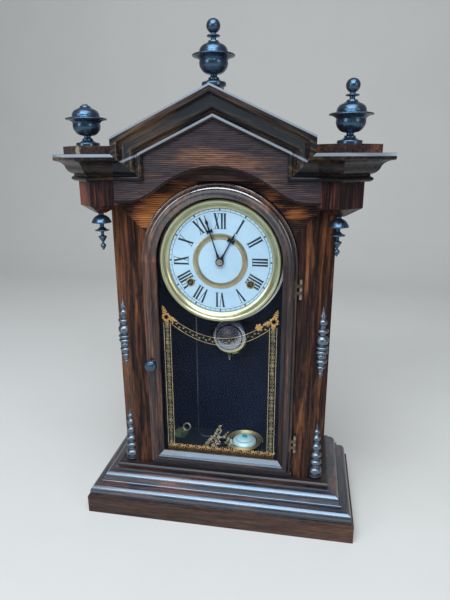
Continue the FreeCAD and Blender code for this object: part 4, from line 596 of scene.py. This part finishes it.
# Near black with little gloss: the frieze's blackened edge together with a painted shadow line along it
frieze_edge_and_shadow = painted("frieze_edge_and_shadow", (0.012, 0.008, 0.008), (0.022, 0.014, 0.013), 0.5, 200.0,
                      Specular_IOR_Level=0.06)
dial_black = painted("dial_black", (0.010, 0.016, 0.024), (0.02, 0.03, 0.04), 0.4, 400.0)
coil_bronze = metal("coil_bronze", (0.88, 0.78, 0.46), (0.66, 0.58, 0.32), 0.50)
key_brass = metal("key_brass", (0.66, 0.68, 0.46), (0.46, 0.50, 0.32), 0.34)
pan_zinc = metal("pan_zinc", (0.62, 0.66, 0.64), (0.42, 0.45, 0.43), 0.30)
blue_back = inner_and_outer_wood("blue_back", 75.2 * mm)
pane = clear_glass("pane")
studio_floor = painted("studio_floor", (0.60, 0.565, 0.52), (0.58, 0.545, 0.50), 0.8, 3.0)

# Each finish and the CAD nodes that it dresses
finishes = [
    (base_veneer, ["base_board"]),
    (plinth_veneer, ["base_moulding", "front_bottom_rail"]),
    (inner_floor, ["case_floor"]),
    (side_veneer, ["case_sides"]),
    (post_veneer, ["corner_posts"]),
    (stile_veneer, ["front_stiles"]),
    (arch_veneer, ["front_arch_board"]),
    (blue_back, ["back_board"]),
    (crown_veneer, ["crown_board"]),
    (frieze_veneer, ["frieze_board"]),
    (cornice_veneer, ["gable_block", "cornices"]),
    (gable_veneer, ["gable_mouldings"]),
    (blocking_veneer, ["blocking_courses"]),
    (block_veneer, ["corner_blocks"]),
    (black_turned, ["corner_drops", "finial_left", "finial_centre", "finial_right", "door_knob"]),
    (rubbed_turned, ["split_turnings"]),
    (door_arch_veneer, ["door_arch"]),
    (door_veneer, ["door_stile_left", "door_stile_right"]),
    (door_rail_veneer, ["door_bottom_rail"]),
    (pane, ["door_glass"]),
    (hinge_brass, ["hinge_frame_leaves", "hinge_pins"]),
    (patina, ["hinge_door_leaves"]),
    (pan_zinc, ["dial_pan"]),
    (dial_white, ["dial_face"]),
    (dial_brass, ["dial_bezel"]),
    (ring_brass, ["dial_inner_ring"]),
    (blued_steel, ["minute_hand", "hour_hand"]),
    (nut_brass, ["hand_nut"]),
    (old_brass, ["winding_grommets", "movement_plates", "centre_wheel", "minute_wheel",
                 "time_great_wheel", "time_second_wheel", "third_wheel", "escape_wheel",
                 "strike_great_wheel", "strike_second_wheel", "strike_fly"]),
    (plain_steel, ["movement_pillars", "anchor_crutch", "pendulum_rod"]),
    # The winding arbors are dark so that the winding holes show painted shade
    (dark_steel_and_hole_shade, ["mainsprings", "time_winding_arbor", "strike_winding_arbor", "rating_nut",
                  "strike_hammer"]),
    (bob_painted_reflection, ["pendulum_bob"]),
    (coil_bronze, ["gong_coil"]),
    (dome_painted_reflection, ["gong_dome"]),
    (key_brass, ["winding_key"]),
]

cad_weld_distance = 0.01 * mm
crease_angle = math.radians(32)
rounding_steps = 3
# Widths, in mm, of the edges that polishing has rubbed round
rounded_edges = {
    "base_board": 0.9, "base_moulding": 0.4, "front_bottom_rail": 0.4, "cornices": 0.7,
    "gable_mouldings": 0.7, "blocking_courses": 0.7, "corner_blocks": 0.6, "frieze_board": 0.8,
    "door_bottom_rail": 0.4,
}


def dress_node(name, material):
    """A CAD node gets its finish, welded corners and crisp edges with smooth curves between them."""
    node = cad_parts[name]
    node.data.materials.clear()
    node.data.materials.append(material)
    node.data.shade_smooth()
    weld = node.modifiers.new("weld", "WELD")
    weld.merge_threshold = cad_weld_distance
    if name in rounded_edges:
        bevel = node.modifiers.new("rubbed_edges", "BEVEL")
        bevel.width = rounded_edges[name] * mm
        bevel.segments = rounding_steps
        bevel.limit_method = "ANGLE"
        bevel.angle_limit = crease_angle
    split = node.modifiers.new("crisp_edges", "EDGE_SPLIT")
    split.split_angle = crease_angle
    if name in rounded_edges:
        even = node.modifiers.new("even_shading", "WEIGHTED_NORMAL")
        even.keep_sharp = True


# New pieces, drawn flat in the XY plane and then stood upright
piece_weld_distance = 0.001 * mm
print_thickness = 0.05 * mm


def finish_piece(name, bm, material, body):
    piece = make_object(name, bm, material, piece_weld_distance)
    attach(piece, body)


def flat_ring(bm, inner, outer, segments):
    """A flat ring between two circles about the origin."""
    rims = [bmesh.ops.create_circle(bm, radius=radius, segments=segments)["verts"]
            for radius in (outer, inner)]
    edges = dict.fromkeys(edge for verts in rims for vert in verts for edge in vert.link_edges)
    bmesh.ops.bridge_loops(bm, edges=list(edges))


def flat_stroke(bm, start, end, start_width, end_width):
    """A straight stroke of a pen."""
    start = Vector(start)
    end = Vector(end)
    side = (end - start).normalized().orthogonal()
    corners = [start + side * start_width / 2, end + side * end_width / 2, end - side * end_width / 2,
               start - side * start_width / 2]
    bm.faces.new([bm.verts.new((*corner, 0)) for corner in corners])


def flat_line(bm, points, pen):
    """Strokes of one width from point to point."""
    for first, second in zip(points, points[1:]):
        flat_stroke(bm, first, second, pen, pen)


def thicken_down(bm, thickness):
    """Gives flat faces a small thickness below them."""
    step = bmesh.ops.extrude_face_region(bm, geom=bm.faces[:])
    verts = of_kind(step["geom"], bmesh.types.BMVert)
    bmesh.ops.translate(bm, verts=verts, vec=(0, 0, -thickness))


def stand_upright(bm, y, z=0.0):
    """Turns flat work to face the front at y, with its origin raised to z."""
    turn = Matrix.Rotation(math.radians(90), 4, "X")
    bmesh.ops.transform(bm, matrix=Matrix.Translation((0, y, z)) @ turn, verts=bm.verts)


# The print on the dial
dial_height = 340.0 * mm
dial_print_y = -12.06 * mm
numeral_inner = 39.0 * mm
numeral_outer = 57.0 * mm
thick_pen = 2.5 * mm
thin_pen = 0.7 * mm
serif_pen = 0.5 * mm
serif_length = 4.0 * mm
letter_gap = 1.0 * mm
letter_widths = {"I": 2.6 * mm, "V": 7.4 * mm, "X": 7.4 * mm}
numerals = ["XII", "I", "II", "III", "IIII", "V", "VI", "VII", "VIII", "IX", "X", "XI"]
track_rings = ((59.6 * mm, 60.1 * mm), (62.8 * mm, 63.2 * mm))
track_ring_segments = 180
minute_low, minute_high, minute_pen = 60.0 * mm, 63.0 * mm, 0.35 * mm
lozenge_low, lozenge_middle, lozenge_high = 59.8 * mm, 61.4 * mm, 63.0 * mm
lozenge_tip, lozenge_width = 0.2 * mm, 2.4 * mm


def draw_letter(bm, letter, x, width, low, high):
    """One letter of a numeral, upright between two heights; its strokes taper as the dial's do."""
    middle = x + width / 2
    top_reach = width / 2 - thick_pen / 2
    foot_reach = top_reach * 0.8
    if letter == "I":
        flat_stroke(bm, (middle, low), (middle, high), thick_pen * 0.8, thick_pen)
        serifs = [(middle, low), (middle, high)]
    elif letter == "V":
        flat_stroke(bm, (middle - top_reach, high), (middle, low), thick_pen, thick_pen * 0.7)
        flat_stroke(bm, (middle + top_reach, high), (middle, low), thin_pen, thin_pen)
        serifs = [(middle - top_reach, high), (middle + top_reach, high)]
    else:
        flat_stroke(bm, (middle - top_reach, high), (middle + foot_reach, low), thick_pen, thick_pen * 0.9)
        flat_stroke(bm, (middle + top_reach, high), (middle - foot_reach, low), thin_pen, thin_pen)
        serifs = [(middle - top_reach, high), (middle + top_reach, high),
                  (middle - foot_reach, low), (middle + foot_reach, low)]
    for serif_x, serif_y in serifs:
        flat_stroke(bm, (serif_x - serif_length / 2, serif_y), (serif_x + serif_length / 2, serif_y),
                    serif_pen, serif_pen)


def draw_numeral(printed, hour, numeral):
    """Draws a numeral at twelve o'clock, turns it to its hour and adds it to the print."""
    bm = bmesh.new()
    widths = [letter_widths[letter] for letter in numeral]
    total = sum(widths) + letter_gap * (len(widths) - 1)
    x = -total / 2
    for letter, width in zip(numeral, widths):
        draw_letter(bm, letter, x, width, numeral_inner, numeral_outer)
        x += width + letter_gap
    bmesh.ops.rotate(bm, verts=bm.verts, cent=(0, 0, 0),
                     matrix=Matrix.Rotation(-math.radians(30 * hour), 3, "Z"))
    part = bpy.data.meshes.new("numeral")
    bm.to_mesh(part)
    bm.free()
    printed.from_mesh(part)
    bpy.data.meshes.remove(part)


def draw_minute_track(bm):
    """Two rings with a short line at each minute and a lozenge at each hour."""
    for inner, outer in track_rings:
        flat_ring(bm, inner, outer, track_ring_segments)
    for minute in range(60):
        angle = math.radians(6 * minute)
        way = Vector((math.sin(angle), math.cos(angle)))
        if minute % 5:
            flat_stroke(bm, way * minute_low, way * minute_high, minute_pen, minute_pen)
        else:
            flat_stroke(bm, way * lozenge_low, way * lozenge_middle, lozenge_tip, lozenge_width)
            flat_stroke(bm, way * lozenge_middle, way * lozenge_high, lozenge_width, lozenge_tip)


def add_dial_print():
    printed = bmesh.new()
    for hour, numeral in enumerate(numerals):
        draw_numeral(printed, hour, numeral)
    draw_minute_track(printed)
    thicken_down(printed, print_thickness)
    stand_upright(printed, dial_print_y, dial_height)
    finish_piece("dial_print", printed, dial_black, "case")


# The gilt tablet on the back of the pane
tablet_line = 0.6 * mm
tablet_left = -71.0 * mm, -62.6 * mm
tablet_right = 61.8 * mm, 70.4 * mm
tablet_top = 262.0 * mm
tablet_bottom = 86.0 * mm
swag_top = ((-61.0 * mm, 268.5 * mm), (1.5 * mm, 244.6 * mm), (61.8 * mm, 270.0 * mm))
swag_bottom = ((-61.4 * mm, 260.5 * mm), (1.5 * mm, 235.4 * mm), (61.8 * mm, 259.6 * mm))
gilt_thickness = 0.02 * mm
lines_y, chains_y, flowers_y, spray_y = -19.98 * mm, -19.95 * mm, -19.92 * mm, -19.89 * mm


def flat_leaf(bm, place, length, width, degrees):
    """A leaf, bud or petal that starts at a place and points at an angle."""
    turn = Matrix.Rotation(math.radians(degrees), 4, "Z")
    size = Matrix.Diagonal((length / 2, width / 2, 1, 1))
    shift = Matrix.Translation((length / 2, 0, 0))
    matrix = Matrix.Translation((*place, 0)) @ turn @ shift @ size
    bmesh.ops.create_circle(bm, cap_ends=True, radius=1.0, segments=8, matrix=matrix)


def flat_flower(bm, place, radius, petals=6, turn=15.0):
    for number in range(petals):
        flat_leaf(bm, place, radius, radius * 0.62, turn + 360 * number / petals)


def flat_scroll(bm, place, radius, start, sweep, pen):
    """A curl: a spiral of short strokes that closes on its middle."""
    steps = 12
    points = []
    for number in range(steps + 1):
        share = number / steps
        angle = math.radians(start + sweep * share)
        reach = radius * (1 - 0.75 * share)
        points.append((place[0] + reach * math.cos(angle), place[1] + reach * math.sin(angle)))
    flat_line(bm, points, pen)


def along_curve(points, share):
    """A place and a direction on a smooth curve through three points at shares 0, 0.5 and 1."""
    first, middle, last = (Vector(point) for point in points)
    place = (first * (2 * share - 1) * (share - 1) + middle * 4 * share * (1 - share)
             + last * share * (2 * share - 1))
    way = first * (4 * share - 3) + middle * (4 - 8 * share) + last * (4 * share - 1)
    return place, way.normalized()


def band_edges(bm, low_x, high_x):
    for x in (low_x, high_x):
        flat_stroke(bm, (x, tablet_bottom), (x, tablet_top), tablet_line, tablet_line)


def band_chain(bm, low_x, high_x):
    """A chain of lozenges, buds and small leaves between the two lines of an upright band."""
    middle = (low_x + high_x) / 2
    half = (high_x - low_x) / 2
    count = 16
    pitch = (tablet_top - tablet_bottom) / count
    for number in range(count):
        z = tablet_bottom + pitch * (number + 0.5)
        for side in (-1, 1):
            corner = middle + side * half * 0.55, z
            for end in (-1, 1):
                flat_stroke(bm, (middle, z + end * pitch / 2), corner, 0.5 * mm, 0.8 * mm)
            foot = middle + side * half * 0.66, z + pitch * 0.5
            flat_leaf(bm, foot, half * 0.5, half * 0.30, 90 + side * 90)
        flat_leaf(bm, (middle, z - pitch * 0.26), pitch * 0.52, half * 0.42, 90)


def swag_lines(bm):
    count = 34
    for curve in (swag_top, swag_bottom):
        flat_line(bm, [along_curve(curve, number / count)[0] for number in range(count + 1)], tablet_line)


def swag_leaves(bm):
    """A run of leaves and berries between the two hanging lines."""
    count = 30
    for number in range(count):
        share = (number + 0.5) / count
        top, way = along_curve(swag_top, share)
        bottom = along_curve(swag_bottom, share)[0]
        middle = (top + bottom) / 2
        degrees = math.degrees(math.atan2(way.y, way.x))
        lean = 42 if number % 2 else -42
        flat_leaf(bm, middle - way * 1.4 * mm, 3.8 * mm, 1.3 * mm, degrees + lean)
        flat_leaf(bm, middle + (top - middle) * 0.1 * lean / 42, 1.3 * mm, 1.1 * mm, degrees)


def bottom_band(bm):
    """A running scroll of curls and leaves between the feet of the bands."""
    start, end = -72.0 * mm, 71.0 * mm
    line_z, curl_z = 81.4 * mm, 85.2 * mm
    flat_stroke(bm, (start, line_z), (end, line_z), 1.0 * mm, 1.0 * mm)
    count = 24
    pitch = (end - start) / count
    for number in range(count):
        x = start + pitch * (number + 0.5)
        up = 1 if number % 2 else -1
        flat_scroll(bm, (x, curl_z), 2.9 * mm, 90 + 90 * up, up * 400, 0.9 * mm)
        for side in (-1, 1):
            flat_leaf(bm, (x + side * pitch * 0.4, curl_z), 3.8 * mm, 1.7 * mm, 90 + side * (90 - 55 * up))
        flat_leaf(bm, (x, 88.0 * mm), 2.6 * mm, 1.3 * mm, 90 + 20 * up)
        flat_leaf(bm, (x + pitch * 0.5, 86.6 * mm), 3.0 * mm, 2.0 * mm, 80)
        flat_leaf(bm, (x, 82.2 * mm), 2.4 * mm, 1.6 * mm, 20)


def foot_spray(bm):
    """The lace of curls and leaves that climbs from the foot of the tablet to its middle."""
    low, tip, far = Vector((-22.0, 88.0)) * mm, Vector((3.0, 124.0)) * mm, Vector((22.0, 88.0)) * mm
    flat_stroke(bm, low, tip, 0.7 * mm, 0.3 * mm)
    for number in range(74):
        along = (number * 0.618) % 1.0
        across = ((number * 0.755) % 1.0) ** 1.6
        base = low.lerp(tip, along)
        foot = low.lerp(far, along)
        place = base.lerp(foot, across * 0.9)
        degrees = 35 + (number * 97) % 130
        if number % 3 == 0:
            flat_scroll(bm, place, 1.9 * mm, degrees, 360, 0.5 * mm)
        else:
            flat_leaf(bm, place, 3.2 * mm, 1.2 * mm, degrees)


def leaf_spray(bm, start, end, pairs, leaf):
    """A stem with pairs of leaves that grow smaller to its tip."""
    start = Vector(start)
    end = Vector(end)
    way = (end - start).normalized()
    degrees = math.degrees(math.atan2(way.y, way.x))
    flat_stroke(bm, start, end, 0.8 * mm, 0.4 * mm)
    for number in range(pairs):
        share = (number + 0.4) / pairs
        place = start.lerp(end, share)
        length = leaf * (1 - 0.45 * share)
        for side in (-1, 1):
            flat_leaf(bm, place, length, length * 0.42, degrees + side * 52)
    flat_leaf(bm, end, leaf * 0.6, leaf * 0.3, degrees)


def corner_flower(bm, x, z, side):
    """A flower at a corner of the tablet, with leaves up, down and along the swag."""
    place = (x, z)
    flat_flower(bm, place, 6.0 * mm, 8)
    leaf_spray(bm, (x + side * 1.0 * mm, z + 4.0 * mm), (x + side * 3.6 * mm, z + 12.5 * mm), 3, 4.2 * mm)
    leaf_spray(bm, (x - side * 4.0 * mm, z - 1.5 * mm), (x - side * 11.0 * mm, z - 3.5 * mm), 3, 4.4 * mm)
    leaf_spray(bm, (x - side * 0.6 * mm, z - 4.0 * mm), (x - side * 0.6 * mm, z - 11.0 * mm), 3, 3.6 * mm)


def finish_tablet_piece(name, bm, material, y):
    thicken_down(bm, gilt_thickness)
    stand_upright(bm, y)
    finish_piece(name, bm, material, "door")


def add_tablet():
    edges = bmesh.new()
    band_edges(edges, *tablet_left)
    band_edges(edges, *tablet_right)
    swag_lines(edges)
    finish_tablet_piece("tablet_edge_lines", edges, gilt_line, lines_y)
    chains = bmesh.new()
    band_chain(chains, *tablet_left)
    band_chain(chains, *tablet_right)
    swag_leaves(chains)
    finish_tablet_piece("tablet_chains", chains, gilt_faded, chains_y)
    flowers = bmesh.new()
    corner_flower(flowers, -67.4 * mm, 268.8 * mm, -1)
    corner_flower(flowers, 66.8 * mm, 269.6 * mm, 1)
    flat_flower(flowers, (48.8 * mm, 261.6 * mm), 5.0 * mm)
    bottom_band(flowers)
    finish_tablet_piece("tablet_flowers", flowers, gilt, flowers_y)
    spray = bmesh.new()
    foot_spray(spray)
    finish_tablet_piece("tablet_foot_spray", spray, gilt_pale, spray_y)


# The blackened edge of the frieze, darkened further as a painted shadow line: shares of its half width and
# of its rise, from an end to the middle
bell_half_width = 114.5 * mm
bell_low = 410.5 * mm
bell_rise = 39.0 * mm
bell_line_low, bell_line_high = 0.2 * mm, 2.4 * mm
bell_line_y = -45.56 * mm
bell_shares = ((-1.0, 0.0), (-0.88, 0.01), (-0.78, 0.05), (-0.70, 0.15), (-0.62, 0.28), (-0.54, 0.44),
               (-0.45, 0.61), (-0.36, 0.74), (-0.26, 0.86), (-0.13, 0.95), (0.0, 0.98))


def smooth_curve(points, steps):
    """A smooth curve through all the points, with a number of steps from each to the next."""
    curve = []
    for index in range(len(points) - 1):
        before, start = points[max(index - 1, 0)], points[index]
        end, after = points[index + 1], points[min(index + 2, len(points) - 1)]
        for step in range(steps):
            share = step / steps
            pull = (end - before) * share + (2 * before - 5 * start + 4 * end - after) * share ** 2
            curve.append(start + (pull + (3 * start - before - 3 * end + after) * share ** 3) / 2)
    return curve + [points[-1]]


def add_frieze_edge_and_shadow():
    """A near-black strip along the frieze board's bell-shaped foot: its blackened edge, with the shadow
    line there painted in.
    """
    bm = bmesh.new()
    half = [Vector((x * bell_half_width, bell_low + rise * bell_rise)) for x, rise in bell_shares]
    foot = half + [Vector((-point.x, point.y)) for point in reversed(half[:-1])]
    curve = smooth_curve(foot, 4)
    low, high = ([bm.verts.new((point.x, point.y + rise, 0)) for point in curve]
                 for rise in (bell_line_low, bell_line_high))
    for index in range(len(curve) - 1):
        bm.faces.new((low[index], low[index + 1], high[index + 1], high[index]))
    thicken_down(bm, print_thickness)
    stand_upright(bm, bell_line_y)
    finish_piece("frieze_edge_and_shadow_line", bm, frieze_edge_and_shadow, "case")


add_camera()
add_light()
add_stage(studio_floor)
for finish, node_names in finishes:
    for node_name in node_names:
        dress_node(node_name, finish)
add_dial_print()
add_tablet()
add_frieze_edge_and_shadow()
